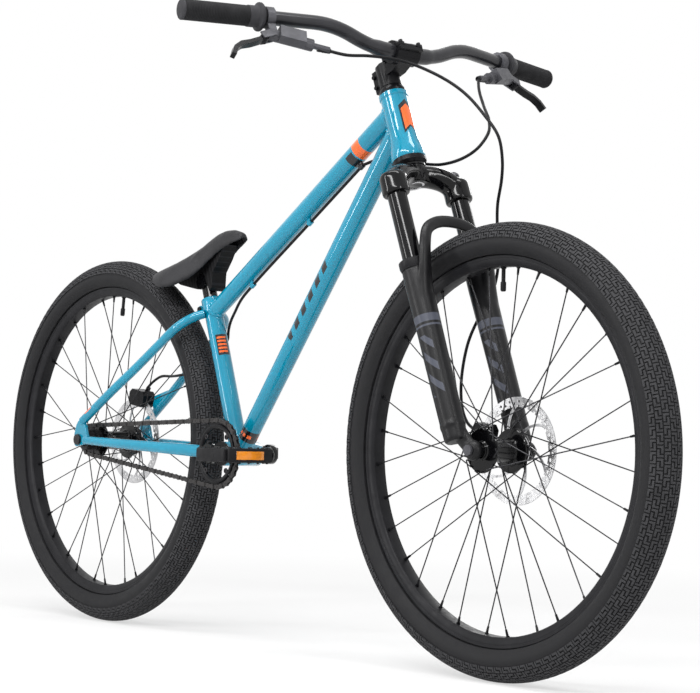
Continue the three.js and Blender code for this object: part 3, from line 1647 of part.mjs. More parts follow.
function buildHoses(ports) {
  const listed = (places) => places.map((place) => place.toArray());
  const [firstShare] = hoseGuideShares;
  const lastShare = hoseGuideShares[hoseGuideShares.length - 1];
  const loopEnd = [hoseGuideLength * 2, hoseGuideLength + gap].map((ahead) => guidePlace(firstShare, ahead));
  const loop = [...listed(ports.left), ...rearLoopRoute, ...listed(loopEnd)];
  add("rear_hose_loop", hose(loop, hoseRadius, 24), "hose");

  const guided = hoseGuideShares.flatMap((share) => [
    guidePlace(share, hoseGuideLength / 2),
    guidePlace(share, -hoseGuideLength / 2),
  ]);
  const rearStart = [guidePlace(firstShare, hoseGuideLength), ...guided];
  rearStart.push(guidePlace(lastShare, -hoseGuideLength * 1.5));
  const rearEnd = [caliperFittingReach * 1.6, caliperFittingReach + gap].map(rearCaliper.place);
  const rear = [...listed(rearStart), ...rearHoseRoute, ...listed(rearEnd)];
  add("rear_brake_hose", hose(rear, hoseRadius, 30), "hose");

  const frontEnd = [caliperFittingReach * 2, caliperFittingReach + gap].map((reach) =>
    steering.localToWorld(frontCaliper.place(reach)),
  );
  const front = [...listed(ports.right), ...frontHoseRoute, ...listed(frontEnd)];
  add("front_brake_hose", hose(front, hoseRadius, 30), "hose");
}

const pitchRadius = (teeth) => chainPitch / (2 * Math.sin(Math.PI / teeth));

// A toothed ring in the chain's plane
function sprocket(centre, teeth, thickness, holes) {
  const radius = pitchRadius(teeth);
  const outline = ring(teeth).flatMap((tooth) => {
    const at = (place, share) => {
      const angle = turn((tooth + share) / teeth);
      return [place * Math.cos(angle), place * Math.sin(angle)];
    };
    return [at(radius - rollerRadius, 0), at(radius + toothHeight, 0.4), at(radius + toothHeight, 0.6)];
  });
  return plate(outline, thickness, -chainLine, holes).translate(centre.x, 0, centre.z);
}

function buildCranks() {
  const ringHole = arcPoints(chainringInnerRadius, turn(1), 0, 16).slice(1);
  add(
    "chainring",
    cut(
      sprocket(bottomBracket, chainringTeeth, chainringThickness, [ringHole]),
      ...ring(spiderArmCount).map((arm) => ringBolt(arm, clearOf(ringBoltRadius / 2, 8))),
    ),
    "satinBlack",
  );
  const nearRing = -chainLine - chainringThickness / 2 - gap;
  [-1, 1].forEach((side) => {
    const forward = -side;
    const pedalEye = bottomBracket.clone().add(point(forward * crankLength, 0, 0));
    const armOutline = crankOutline(forward);
    const inner = side * crankInset;
    const outer = side * (crankInset + crankThickness);
    const arm = plate(armOutline, crankThickness, (inner + outer) / 2);
    const places = arm.attributes.position;
    ring(places.count).forEach((index) => {
      const along = (forward * (places.getX(index) - bottomBracket.x)) / crankLength;
      const share = THREE.MathUtils.smoothstep(along, 0.08, 0.8);
      places.setY(index, places.getY(index) + side * crankFlare * share);
    });
    const spindleHole = rod(
      bottomBracket.clone().setY(side * (chainLine - overrun)),
      bottomBracket.clone().setY(outer + side * overrun),
      clearOf(spindleRadius, 12),
      12,
    );
    const boltSeat = rod(
      bottomBracket.clone().setY(outer),
      bottomBracket.clone().setY(outer + side * crankFlare),
      clearOf(spindleBoltRadius, 12) + overrun,
      12,
    );
    const eyeHole = rod(
      pedalEye.clone().setY(inner),
      pedalEye.clone().setY(outer + side * crankFlare * 2),
      clearOf(pedalAxleRadius, 10),
      10,
    );
    const pieces = [arm];
    if (side < 0) pieces.push(...spider(nearRing, inner));
    add("crank_arm_" + sideWord(side), cut(join(...pieces), spindleHole, boltSeat, eyeHole), "glossBlack");
  });
  const boltEnd = crankInset + crankThickness + spindleBoltLength;
  const boltFace = crankInset + crankThickness + gap;
  const onSpindle = (y) => bottomBracket.clone().setY(y);
  const spindle = join(
    rod(onSpindle(-boltFace), onSpindle(boltFace), spindleRadius, 12),
    rod(onSpindle(-boltEnd), onSpindle(-boltFace), spindleBoltRadius, 12),
    rod(onSpindle(boltFace), onSpindle(boltEnd), spindleBoltRadius, 12),
  );
  add("crank_spindle", spindle, "steel");

  const shellHalf = bottomBracketShellWidth / 2;
  const bearingBore = spindleRadius + runningGap;
  const flange = shellHalf + gap + cartridgeFlangeLength;
  const cartridge = [
    [-flange, bearingBore],
    [-flange, cartridgeFlangeRadius],
    [-shellHalf - gap, cartridgeFlangeRadius],
    [-shellHalf - gap, cartridgeRadius],
    [flange, cartridgeRadius],
    [flange, bearingBore],
  ];
  const cartridgeSolid = turned(cartridge, 16).translate(bottomBracket.x, 0, bottomBracket.z);
  add("bottom_bracket", cartridgeSolid, "satinBlack");
}

// One arm from the spindle to its pedal, as an outline in the XZ plane
function crankOutline(forward) {
  const boss = arcPoints(crankBossRadius, degrees(50), degrees(310), 8);
  const tip = arcPoints(crankTipRadius, degrees(-75), degrees(75), 5).map(([x, z]) => [x + crankLength, z]);
  const half = crankMidWidth / 2;
  const middle = [
    [crankLength * 0.3, -half],
    [crankLength * 0.75, -half * 0.95],
  ];
  const outline = [...boss, ...middle, ...tip, ...middle.map(([x, z]) => [x, -z]).reverse()];
  return outline.map(([x, z]) => [bottomBracket.x + forward * x, bottomBracket.z + z]);
}

const ringBoltPlace = (arm, radius = spiderReach) => {
  const angle = turn((arm + 0.5) / spiderArmCount);
  return bottomBracket.clone().add(point(Math.cos(angle) * radius, 0, Math.sin(angle) * radius));
};
const ringBolt = (arm, radius, half = chainringThickness * 4) => {
  const place = ringBoltPlace(arm);
  return rod(place.clone().setY(-chainLine - half), place.clone().setY(-chainLine + half), radius, 8);
};

// Four arms beside the chainring, and the hub that joins them to the right crank arm
function spider(nearRing, inner) {
  const plateY = nearRing - spiderThickness / 2;
  const arms = ring(spiderArmCount).map((arm) => {
    const near = ringBoltPlace(arm, spindleRadius);
    const far = ringBoltPlace(arm);
    const along = far.clone().sub(near).normalize();
    const across = point(-along.z, 0, along.x).multiplyScalar(spiderArmWidth / 2);
    const outline = [
      near.clone().add(across),
      far.clone().addScaledVector(across, 0.7),
      far.clone().addScaledVector(across, -0.7),
      near.clone().sub(across),
    ].map((place) => [place.x, place.z]);
    return plate(outline, spiderThickness, plateY);
  });
  const bolts = ring(spiderArmCount).map((arm) => {
    const place = ringBoltPlace(arm);
    return rod(
      place.clone().setY(nearRing - spiderThickness - gap),
      place.clone().setY(-chainLine + chainringThickness / 2),
      ringBoltRadius * 0.5,
      8,
    );
  });
  const hub = rod(
    bottomBracket.clone().setY(nearRing),
    bottomBracket.clone().setY(inner - gap),
    crankBossRadius,
    16,
  );
  return [...arms, ...bolts, hub];
}

function buildPedals() {
  [-1, 1].forEach((side) => {
    const forward = -side;
    const eye = bottomBracket.clone().add(point(forward * crankLength, 0, 0));
    const armOuter = crankInset + crankThickness + crankFlare;
    const onAxle = (y) => eye.clone().setY(side * y);
    const pedalStart = armOuter + pedalInset;
    const pedalEnd = pedalStart + pedalWidth;
    const shaftEnd = pedalEnd - pedalBar - overrun;
    const axle = join(
      rod(onAxle(armOuter - crankThickness), onAxle(shaftEnd), pedalAxleRadius, 10),
      rod(onAxle(armOuter + gap), onAxle(pedalStart - gap), pedalAxleRadius * 1.5, 8),
    );
    add("pedal_axle_" + sideWord(side), axle, "darkSteel");

    const middle = (pedalStart + pedalEnd) / 2;
    const body = new THREE.Shape(pedalLoop(pedalLength / 2, pedalWidth / 2));
    const frame = new THREE.ExtrudeGeometry(body, { depth: pedalHeight, bevelEnabled: false });
    frame.translate(eye.x, side * middle, eye.z - pedalHeight / 2);
    const windowLength = pedalLength / 2 - pedalRail - pedalHubRadius * 0.9;
    const windows = [-1, 1].map((fore) =>
      block(
        windowLength,
        pedalWidth - pedalBar * 2,
        pedalHeight * 2,
        point(eye.x + fore * (pedalHubRadius * 0.9 + windowLength / 2), side * middle, eye.z),
      ),
    );
    const hub = rod(onAxle(pedalStart), onAxle(pedalEnd - overrun), pedalHubRadius, 12);
    const bore = rod(
      onAxle(pedalStart - overrun),
      onAxle(shaftEnd + overrun),
      pedalAxleRadius + runningGap,
      10,
    );
    const relief = [-1, 1].map((face) =>
      block(
        pedalLength - pedalRail * 2,
        pedalWidth - pedalBar * 2,
        pedalHeight,
        point(eye.x, side * middle, eye.z + face * pedalHeight * 0.82),
      ),
    );
    add("pedal_" + sideWord(side), cut(join(cut(frame, ...relief, ...windows), hub), bore), "plastic");
  });
}

// The pedal's outline seen from above, with its corners cut
function pedalLoop(halfLength, halfWidth) {
  const corner = pedalCornerShare * pedalLength;
  return [
    [halfLength, -halfWidth + corner],
    [halfLength, halfWidth - corner],
    [halfLength - corner, halfWidth],
    [-halfLength + corner, halfWidth],
    [-halfLength, halfWidth - corner],
    [-halfLength, -halfWidth + corner],
    [-halfLength + corner, -halfWidth],
    [halfLength - corner, -halfWidth],
  ].map(([x, y]) => new THREE.Vector2(x, y));
}

function buildCog() {
  const sleeveEnd = rearFlangeRight - flangeThickness / 2 - gap;
  const boreRadius = (driverRadius + driverBearingGap) / Math.cos(Math.PI / cogBoreSides);
  const sleeve = [
    [sleeveEnd - freewheelLength, boreRadius],
    [sleeveEnd - freewheelLength, freewheelRadius],
    [sleeveEnd, freewheelRadius],
    [sleeveEnd, boreRadius],
  ];
  const bore = arcPoints(boreRadius + overrun, turn(1), 0, cogBoreSides).slice(1);
  const cog = sprocket(rearAxle, cogTeeth, chainringThickness, [bore]);
  add("rear_cog", join(cog, turned(sleeve, cogBoreSides).translate(rearAxle.x, 0, rearAxle.z)), "darkSteel");
}

// The chain is two rows of side plates, pinned together along its straight runs
function buildChain() {
  const front = pitchRadius(chainringTeeth);
  const rear = pitchRadius(cogTeeth);
  const between = bottomBracket.clone().sub(rearAxle);
  const distance = between.length();
  const lean = Math.atan2(between.z, between.x);
  const wrap = Math.acos((front - rear) / distance);
  const loop = (extra) => [
    ...arcPoints(front + extra, lean - wrap, lean + wrap, 10).map(([x, z]) => [
      bottomBracket.x + x,
      bottomBracket.z + z,
    ]),
    ...arcPoints(rear + extra, lean + wrap, lean + turn(1) - wrap, 6).map(([x, z]) => [
      rearAxle.x + x,
      rearAxle.z + z,
    ]),
  ];
  const offset = (chainInsideWidth + chainPlateThickness) / 2;
  const plates = [-1, 1].map((face) =>
    plate(
      loop(chainHalfHeight),
      chainPlateThickness,
      -chainLine + face * offset,
      [loop(-chainHalfHeight).reverse()],
    ),
  );
  const clearRun = Math.sqrt((front + toothHeight) ** 2 - (front - rollerRadius) ** 2) + rollerRadius * 3;
  const rows = [-1, 1].flatMap((face) => {
    const touch = lean + face * wrap;
    const way = (centre, radius) =>
      centre.clone().add(point(Math.cos(touch) * radius, 0, Math.sin(touch) * radius));
    const ahead = way(bottomBracket, front);
    const behind = way(rearAxle, rear);
    const run = ahead.distanceTo(behind);
    const pins = Math.floor((run - clearRun * 2) / (chainPitch * chainPinEvery)) + 1;
    return ring(pins).map((index) => {
      const share = (clearRun + index * chainPitch * chainPinEvery) / run;
      const place = ahead.clone().lerp(behind, share);
      const half = chainInsideWidth / 2 + chainPlateThickness / 2;
      return rod(
        place.clone().setY(-chainLine - half),
        place.clone().setY(-chainLine + half),
        rollerRadius * 0.8,
        4,
      );
    });
  });
  add("chain", join(...plates, ...rows), "darkSteel");
}

const saddlePivot = onSeat(seatTubeLength + saddlePivotRise);

function buildSeatpost() {
  const bottom = onSeat(seatTubeLength - seatpostInsertion);
  const top = onSeat(seatTubeLength + saddlePivotRise);
  const tube = rod(bottom, top, seatpostRadius, 16);
  const bore = rod(
    beyond(top, bottom, overrun),
    onSeat(seatTubeLength),
    seatpostRadius - seatpostWall,
    12,
  );
  const head = rod(
    saddlePivot.clone().setY(-saddlePivotWidth / 2),
    saddlePivot.clone().setY(saddlePivotWidth / 2),
    saddlePivotRadius,
    20,
  );
  add("seatpost", join(cut(tube, bore), head), "glossBlack");
}

// A closed solid through rings of points, all with the same number of points
function loft(rings) {
  const count = rings[0].length;
  const corners = [];
  const face = (...places) => places.forEach((place) => corners.push(place.x, place.y, place.z));
  rings.slice(1).forEach((next, index) => {
    const last = rings[index];
    ring(count).forEach((corner) => {
      const beside = (corner + 1) % count;
      face(last[corner], next[corner], next[beside]);
      face(last[corner], next[beside], last[beside]);
    });
  });
  [rings[0], rings[rings.length - 1]].forEach((end, isLast) => {
    const flat = end.map((place) => new THREE.Vector2(place.y, place.z));
    const around = THREE.ShapeUtils.isClockWise(flat);
    THREE.ShapeUtils.triangulateShape(flat, []).forEach((cap) => {
      const same = THREE.ShapeUtils.isClockWise(cap.map((corner) => flat[corner])) === around;
      const order = same === !isLast ? cap : [...cap].reverse();
      face(...order.map((corner) => end[corner]));
    });
  });
  const geometry = new THREE.BufferGeometry();
  return geometry.setAttribute("position", new THREE.Float32BufferAttribute(corners, 3));
}

// The saddle's half width, crown height and edge depth at a share of its length
function saddleStation(share) {
  return {
    x: saddleNoseReach - (1 - share) * saddleLength,
    half: (mix(saddleWidthShares, share) * saddleWidth) / 2,
    crown: saddleTopRise - mix(saddleFallShares, share) * saddleDepth,
    depth: mix(saddleDepthShares, share) * saddleDepth,
  };
}

// The cover's section at a share of its length, its underside moved in by a clearance
function coverRing(share, clearance) {
  const { x, half, crown, depth } = saddleStation(share);
  const outside = coverOutsideShares.map(([across, fall]) => point(x, across * half, crown - fall * depth));
  outside[outside.length - 1].z -= clearance;
  const inside = coverInsideShares.map(([across, fall], index) => {
    const under = crown - fall * depth - (index ? coverThickness : 0) - clearance;
    return point(x, Math.max(across * half - clearance, 0), under);
  });
  return mirroredRing([...outside, ...inside]);
}

// A closed ring from its left half, whose ends lie on the middle plane
function mirroredRing(half) {
  const other = half.map((place) => place.clone().setY(-place.y)).reverse();
  return [...half, ...other.slice(1, -1)];
}

// The saddle in its own frame, pitched nose up about its pivot
function buildSaddle() {
  const group = new THREE.Group();
  group.position.copy(saddlePivot);
  group.rotation.y = -degrees(saddlePitch);
  bike.add(group);

  const coverRings = (clearance) =>
    ring(saddleStations + 1).map((index) => coverRing(index / saddleStations, clearance));
  add("saddle_cover", loft(coverRings(0)), "cover", group);

  const panShares = ring(saddleStations - 1).map((index) => (index + 1) / saddleStations);
  const pan = panShares.map((share) => {
    const { x, half, crown, depth } = saddleStation(share);
    const line = coverInsideShares.slice(1).map(([across, fall]) => [across * half, crown - fall * depth]);
    const upper = line.map(([y, z]) => point(x, y * panEdgeShare, z - coverThickness)).reverse();
    const lower = upper.map((place) => place.clone().add(point(0, 0, -panThickness))).reverse();
    return mirroredRing([...upper, ...lower]);
  });
  const keelTop = panShares.slice(0, -1).map((share) => {
    const { x, crown } = saddleStation(share);
    return [x, crown - coverThickness - panThickness / 2];
  });
  const keel = plate(keelOutline(keelTop), keelHalfWidth * 2, 0);
  const pivotBore = rod(
    point(0, -saddleWidth, 0),
    point(0, saddleWidth, 0),
    clearOf(saddlePivotRadius, 20),
    20,
  );
  const postWay = postOpening(degrees(90 - seatAngle - saddlePitch));
  const base = cut(join(keel, loft(pan)), loft(coverRings(gap)), pivotBore, postWay);
  add("saddle_base", base, "plastic", group);
}

// The keel's outline under the pan, seen from the side
function keelOutline(keelTop) {
  const [rearTop] = keelTop;
  const frontTop = keelTop[keelTop.length - 1];
  return [
    ...keelTop,
    [frontTop[0], frontTop[1] - panThickness * 4],
    [keelFrontReach * 2.2, saddleTopRise * 0.3],
    [keelFrontReach * 1.35, saddleTopRise * 0.06],
    [keelFrontReach, -keelDrop * 0.86],
    [keelFrontReach * 0.58, -keelDrop],
    [-keelRearReach, -keelRearDrop],
    [-keelRearReach * 2.4, saddleTopRise * 0.22],
    [rearTop[0] * 0.92, rearTop[1] - panThickness],
  ].reverse();
}

// The post's way through the keel, wide enough for the saddle's tilt
function postOpening(lean) {
  const reach = keelDrop * 2;
  const spread = (angle) => seatpostRadius + runningGap + reach * Math.tan(Math.abs(degrees(angle)));
  const outline = [
    [-seatpostRadius - runningGap, 0],
    [-spread(saddleTiltUp) - runningGap, -reach],
    [spread(saddleTiltDown) + runningGap, -reach],
    [seatpostRadius + runningGap, 0],
  ];
  const opening = plate(outline, saddleWidth, 0);
  return opening.rotateY(-lean);
}

const cutters = buildFrame();
buildStays(-1, cutters);
buildStays(1, cutters);
buildForkUpper();
buildForkLowers();
buildCalipers();
buildWheels();
buildHeadset();
buildStem();
buildHandlebar();
const ports = { right: buildBrakeLever(-1), left: buildBrakeLever(1) };
buildHoses(ports);
buildCranks();
buildPedals();
buildCog();
buildChain();
buildSeatpost();
buildSaddle();

export default bike;
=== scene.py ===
import json
import math
import bmesh
import bpy
from mathutils import Matrix, Vector


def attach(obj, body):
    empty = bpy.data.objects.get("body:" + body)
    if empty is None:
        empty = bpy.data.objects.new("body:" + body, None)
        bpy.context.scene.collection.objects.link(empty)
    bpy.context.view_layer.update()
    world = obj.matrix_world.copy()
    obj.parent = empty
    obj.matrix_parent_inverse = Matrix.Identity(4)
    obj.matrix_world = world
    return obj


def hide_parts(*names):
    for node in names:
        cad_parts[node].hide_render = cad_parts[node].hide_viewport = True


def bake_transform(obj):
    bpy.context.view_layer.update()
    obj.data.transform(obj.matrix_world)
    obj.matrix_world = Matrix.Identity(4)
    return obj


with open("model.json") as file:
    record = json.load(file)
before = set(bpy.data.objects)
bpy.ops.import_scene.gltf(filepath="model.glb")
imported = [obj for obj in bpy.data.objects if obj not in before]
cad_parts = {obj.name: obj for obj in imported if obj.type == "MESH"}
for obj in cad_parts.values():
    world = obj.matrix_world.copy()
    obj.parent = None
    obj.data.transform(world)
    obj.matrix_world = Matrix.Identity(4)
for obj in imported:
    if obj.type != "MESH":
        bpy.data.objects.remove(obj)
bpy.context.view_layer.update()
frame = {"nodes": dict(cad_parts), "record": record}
nodes = frame["nodes"]

MM = 0.001
FULL_TURN = 2 * math.pi
SHARP = math.radians(38)  # an edge that turns less is shaded smooth
ROUNDED = math.radians(32)  # an edge that turns more is rounded
FLAT = math.radians(1.5)  # packed faces that turn less are joined
MERGE = MM * 0.01
SEAM = MM * 0.002
UP, AHEAD, LEFT, RIGHT = Vector((0, 0, 1)), Vector((1, 0, 0)), Vector((0, 1, 0)), Vector((0, -1, 0))
SIDES = ((-1, "right"), (1, "left"))


def spot(x, y, z):
    """A place in the bike's frame, given in millimetres."""
    return Vector((x, y, z)) * MM


# ---------------------------------------------------------------- camera

PHOTO_AZIMUTH = math.radians(50.11)
PHOTO_ELEVATION = math.radians(-2.68)
PHOTO_ROLL = math.radians(1.23)
PHOTO_DISTANCE = 3.089
PHOTO_TARGET = Vector((0.1705, 0, 0.495))
PHOTO_LENS = 99.3
SENSOR_WIDTH = 36


def set_camera():
    flat = math.cos(PHOTO_ELEVATION)
    back = Vector(
        (math.sin(PHOTO_AZIMUTH) * flat, -math.cos(PHOTO_AZIMUTH) * flat, math.sin(PHOTO_ELEVATION))
    )
    level = (-back).cross(UP).normalized()
    upright = level.cross(-back).normalized()
    right = math.cos(PHOTO_ROLL) * level + math.sin(PHOTO_ROLL) * upright
    top = -math.sin(PHOTO_ROLL) * level + math.cos(PHOTO_ROLL) * upright
    camera = bpy.data.objects.new("camera", bpy.data.cameras.new("camera"))
    bpy.context.scene.collection.objects.link(camera)
    turned_to_bike = Matrix((right, top, back)).transposed().to_4x4()
    camera.matrix_world = Matrix.Translation(PHOTO_TARGET + back * PHOTO_DISTANCE) @ turned_to_bike
    camera.data.sensor_width = SENSOR_WIDTH
    camera.data.lens = PHOTO_LENS
    bpy.context.scene.camera = camera


set_camera()

# ---------------------------------------------------------------- finishes


class Shade:
    """One output of a finish's nodes, which takes part in sums."""

    def __init__(self, finish, socket):
        self.finish = finish
        self.socket = socket

    def __add__(self, other):
        return self.finish.math("ADD", self, other)

    def __sub__(self, other):
        return self.finish.math("SUBTRACT", self, other)

    def __rsub__(self, other):
        return self.finish.math("SUBTRACT", other, self)

    def __mul__(self, other):
        return self.finish.math("MULTIPLY", self, other)

    def __gt__(self, other):
        return self.finish.math("GREATER_THAN", self, other)

    def __lt__(self, other):
        return self.finish.math("LESS_THAN", self, other)

    __radd__ = __add__
    __rmul__ = __mul__


class Nodes:
    """The node tree of a material or a world, built by one call for each node."""

    def __init__(self, holder):
        holder.use_nodes = True
        self.tree = holder.node_tree
        self.tree.nodes.clear()

    def put(self, kind, settings=None, inputs=None, output=0):
        node = self.tree.nodes.new(kind)
        for name, value in (settings or {}).items():
            setattr(node, name, value)
        for name, value in (inputs or {}).items():
            if isinstance(value, Shade):
                self.tree.links.new(value.socket, node.inputs[name])
            else:
                node.inputs[name].default_value = value
        return Shade(self, node.outputs[output]) if node.outputs else None

    def math(self, operation, first, second=0.0):
        return self.put("ShaderNodeMath", {"operation": operation}, {0: first, 1: second})

    def seen_directly(self):
        """One for what the camera sees, also by way of gloss or a clear piece."""
        camera = self.put("ShaderNodeLightPath", output="Is Camera Ray")
        gloss = self.put("ShaderNodeLightPath", output="Is Glossy Ray")
        through = self.put("ShaderNodeLightPath", output="Is Transmission Ray")
        return self.math("MINIMUM", camera + gloss + through, 1.0)


class Finish(Nodes):
    """A material whose patterns follow the piece's own places."""

    def __init__(self, name):
        self.material = bpy.data.materials.new(name)
        super().__init__(self.material)
        self.place = self.put("ShaderNodeTexCoord", output="Object")

    def noise(self, scale, detail=3.0, roughness=0.5):
        inputs = {"Vector": self.place, "Scale": scale, "Detail": detail, "Roughness": roughness}
        return self.put("ShaderNodeTexNoise", None, inputs)

    def cells(self, scale, feature="F1"):
        inputs = {"Vector": self.place, "Scale": scale}
        return self.put("ShaderNodeTexVoronoi", {"feature": feature}, inputs)

    def ramp(self, value, low, high):
        """Nought below low, one above high and smooth between."""
        inputs = {"Value": value, "From Min": low, "From Max": high}
        return self.put("ShaderNodeMapRange", {"interpolation_type": "SMOOTHSTEP"}, inputs)

    def blend(self, share, first, second):
        inputs = {0: share, 6: first, 7: second}
        return self.put("ShaderNodeMix", {"data_type": "RGBA"}, inputs, output=2)

    def along(self, origin, direction):
        """How far a point lies along a direction from an origin, in metres."""
        moved = self.put("ShaderNodeVectorMath", {"operation": "SUBTRACT"}, {0: self.place, 1: origin})
        return self.put(
            "ShaderNodeVectorMath", {"operation": "DOT_PRODUCT"}, {0: moved, 1: direction}, output="Value"
        )

    def from_axle(self, axle):
        """How far a point lies from a wheel's axle, in metres."""
        inputs = {0: self.place, 1: Vector((1, 0, 1))}
        flat = self.put("ShaderNodeVectorMath", {"operation": "MULTIPLY"}, inputs)
        middle = Vector((axle.x, 0, axle.z))
        return self.put(
            "ShaderNodeVectorMath", {"operation": "DISTANCE"}, {0: flat, 1: middle}, output="Value"
        )

    def bump(self, height, strength, distance):
        inputs = {"Height": height, "Strength": strength, "Distance": distance}
        return self.put("ShaderNodeBump", None, inputs)

    def surface(self, tint, roughness, normal=None, metal=0.0, **constants):
        inputs = {"Base Color": tint, "Roughness": roughness, "Metallic": metal}
        if normal is not None:
            inputs["Normal"] = normal
        for name, value in constants.items():
            inputs[name.replace("_", " ").title().replace("Ior", "IOR")] = value
        shader = self.put("ShaderNodeBsdfPrincipled", None, inputs)
        self.put("ShaderNodeOutputMaterial", None, {"Surface": shader})
        return self.material


def colour(red, green, blue):
    return (red, green, blue, 1.0)


TEAL = colour(0.0, 0.25, 0.385)
DEEP_TEAL = colour(0.0, 0.225, 0.35)
ORANGE = colour(0.9, 0.14, 0.02)
DECAL_BLACK = colour(0.008, 0.008, 0.01)
DECAL_GREY = colour(0.06, 0.065, 0.085)


def band(finish, value, start, end):
    """One between two values, nought elsewhere."""
    return (value > start) * (value < end)


def frame_paint(name, marks=None):
    """Gloss teal under clear lacquer, with any decals laid over the colour."""
    finish = Finish(name)
    mottle = finish.noise(9.0, 2.0)
    painted = finish.blend(finish.ramp(mottle, 0.3, 0.7), TEAL, DEEP_TEAL)
    if marks:
        painted = marks(finish, painted)
    peel = finish.noise(420.0, 1.0)
    normal = finish.bump(peel, 0.012, 0.0004)
    roughness = 0.2 + finish.noise(60.0, 3.0) * 0.12
    return finish.surface(
        painted, roughness, normal, coat_weight=1.0, coat_roughness=0.05, specular_ior_level=0.1
    )


def coated(name, base, low, high, metal=0.0, coat=0.0, grain=180.0, depth=0.08, shine=0.14):
    """A painted, cast or anodised finish with a fine uneven surface."""
    finish = Finish(name)
    mottle = finish.noise(38.0, 4.0, 0.6)
    lighter = colour(*[part * 1.35 + 0.002 for part in base])
    tone = finish.blend(finish.ramp(mottle, 0.3, 0.75), colour(*base), lighter)
    roughness = low + finish.ramp(finish.noise(90.0, 4.0), 0.3, 0.7) * (high - low)
    normal = finish.bump(finish.noise(grain, 3.0), depth, 0.0005) if depth else None
    return finish.surface(
        tone, roughness, normal, metal, coat_weight=coat, coat_roughness=0.06, specular_ior_level=shine
    )


gloss_black = coated("gloss_black", (0.0015, 0.0015, 0.002), 0.1, 0.16, coat=0.35, depth=0.0, shine=0.1)
satin_black = coated("satin_black_anodised", (0.004, 0.004, 0.005), 0.24, 0.36)
bar_black = coated(
    "bar_black_anodised", (0.016, 0.016, 0.019), 0.3, 0.38, metal=0.3, coat=0.3, depth=0.0, shine=0.3
)
rim_black = coated("rim_black_anodised", (0.009, 0.009, 0.0105), 0.34, 0.46)
cast_black = coated("cast_matt_black", (0.0085, 0.0085, 0.0095), 0.36, 0.48, grain=700.0, depth=0.1)
cast_grey = coated(
    "cast_grey_alloy", (0.06, 0.06, 0.067), 0.35, 0.5, metal=0.4, grain=600.0, depth=0.1, shine=0.3
)
dark_steel = coated("dark_steel", (0.026, 0.025, 0.027), 0.28, 0.42, metal=0.6)
chain_steel = coated("chain_steel", (0.042, 0.04, 0.04), 0.25, 0.38, metal=0.6)
bolt_steel = coated("bolt_steel", (0.42, 0.42, 0.43), 0.22, 0.36, metal=1.0)
moulded_black = coated("moulded_black_nylon", (0.0085, 0.0085, 0.0095), 0.42, 0.58, grain=900.0, depth=0.2)
grip_black = coated("grip_rubber", (0.012, 0.012, 0.013), 0.6, 0.75, grain=1100.0, depth=0.3)
grip_grey = coated("grip_grey_rubber", (0.03, 0.03, 0.033), 0.55, 0.7, grain=1100.0, depth=0.2)
hose_black = coated("hose_black", (0.006, 0.006, 0.007), 0.3, 0.42, grain=300.0, depth=0.05)
spoke_black = coated("spoke_black", (0.02, 0.02, 0.022), 0.25, 0.4, metal=0.5)
silver_cap = coated("silver_cap", (0.62, 0.63, 0.65), 0.3, 0.45, metal=0.2)
reflector_orange = coated(
    "reflector_orange", (0.62, 0.2, 0.008), 0.12, 0.22, coat=0.8, grain=1400.0, depth=0.5, shine=0.3
)

# ---------------------------------------------------------------- mesh helpers


def finished(mesh_work, name, body, material, replaces=(), sharp=SHARP, bevel=0.0):
    """Makes one closed, smooth-shaded piece from a bmesh and rides it on its body."""
    bmesh.ops.remove_doubles(mesh_work, verts=mesh_work.verts, dist=SEAM)
    bmesh.ops.recalc_face_normals(mesh_work, faces=mesh_work.faces)
    for face in mesh_work.faces:
        face.smooth = True
    for edge in mesh_work.edges:
        edge.smooth = len(edge.link_faces) == 2 and edge.calc_face_angle(0) < sharp
    mesh = bpy.data.meshes.new(name)
    mesh_work.to_mesh(mesh)
    mesh_work.free()
    piece = bpy.data.objects.new(name, mesh)
    bpy.context.scene.collection.objects.link(piece)
    mesh.materials.append(material)
    if bevel:
        rounding = piece.modifiers.new("edge_rounding", "BEVEL")
        rounding.width = bevel * MM
        rounding.segments = 2
        rounding.limit_method = "ANGLE"
        rounding.angle_limit = ROUNDED
        rounding.harden_normals = True
    if body:
        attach(piece, body)
    if replaces:
        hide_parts(*replaces)
    return piece


def fresh(mesh_work, before):
    """The vertices that aren't among the ones held before."""
    return [vert for vert in mesh_work.verts if vert not in before]


def aimed_at(origin, direction, across=LEFT):
    """A placing whose Z runs along a direction."""
    forward = direction.normalized()
    side = (across - forward * across.dot(forward)).normalized()
    turned_to = Matrix((side, forward.cross(side), forward)).transposed().to_4x4()
    return Matrix.Translation(origin) @ turned_to


def spun_round(mesh_work, outline, steps):
    """Spins corners and edges a full turn about Z."""
    middle, axis = (0, 0, 0), (0, 0, 1)
    bmesh.ops.spin(
        mesh_work, geom=outline, cent=middle, axis=axis, angle=FULL_TURN, steps=steps, use_merge=True
    )


def turned(mesh_work, rows, steps, place, closed=False):
    """Spins a profile of [along, radius] millimetres about the Z of a placing."""
    before = set(mesh_work.verts)
    corners = [mesh_work.verts.new((radius * MM, 0, along * MM)) for along, radius in rows]
    pairs = list(zip(corners, corners[1:] + corners[:1] if closed else corners[1:]))
    edges = [mesh_work.edges.new(pair) for pair in pairs]
    spun_round(mesh_work, corners + edges, steps)
    bmesh.ops.remove_doubles(mesh_work, verts=fresh(mesh_work, before), dist=MERGE)
    bmesh.ops.transform(mesh_work, matrix=place, verts=fresh(mesh_work, before))


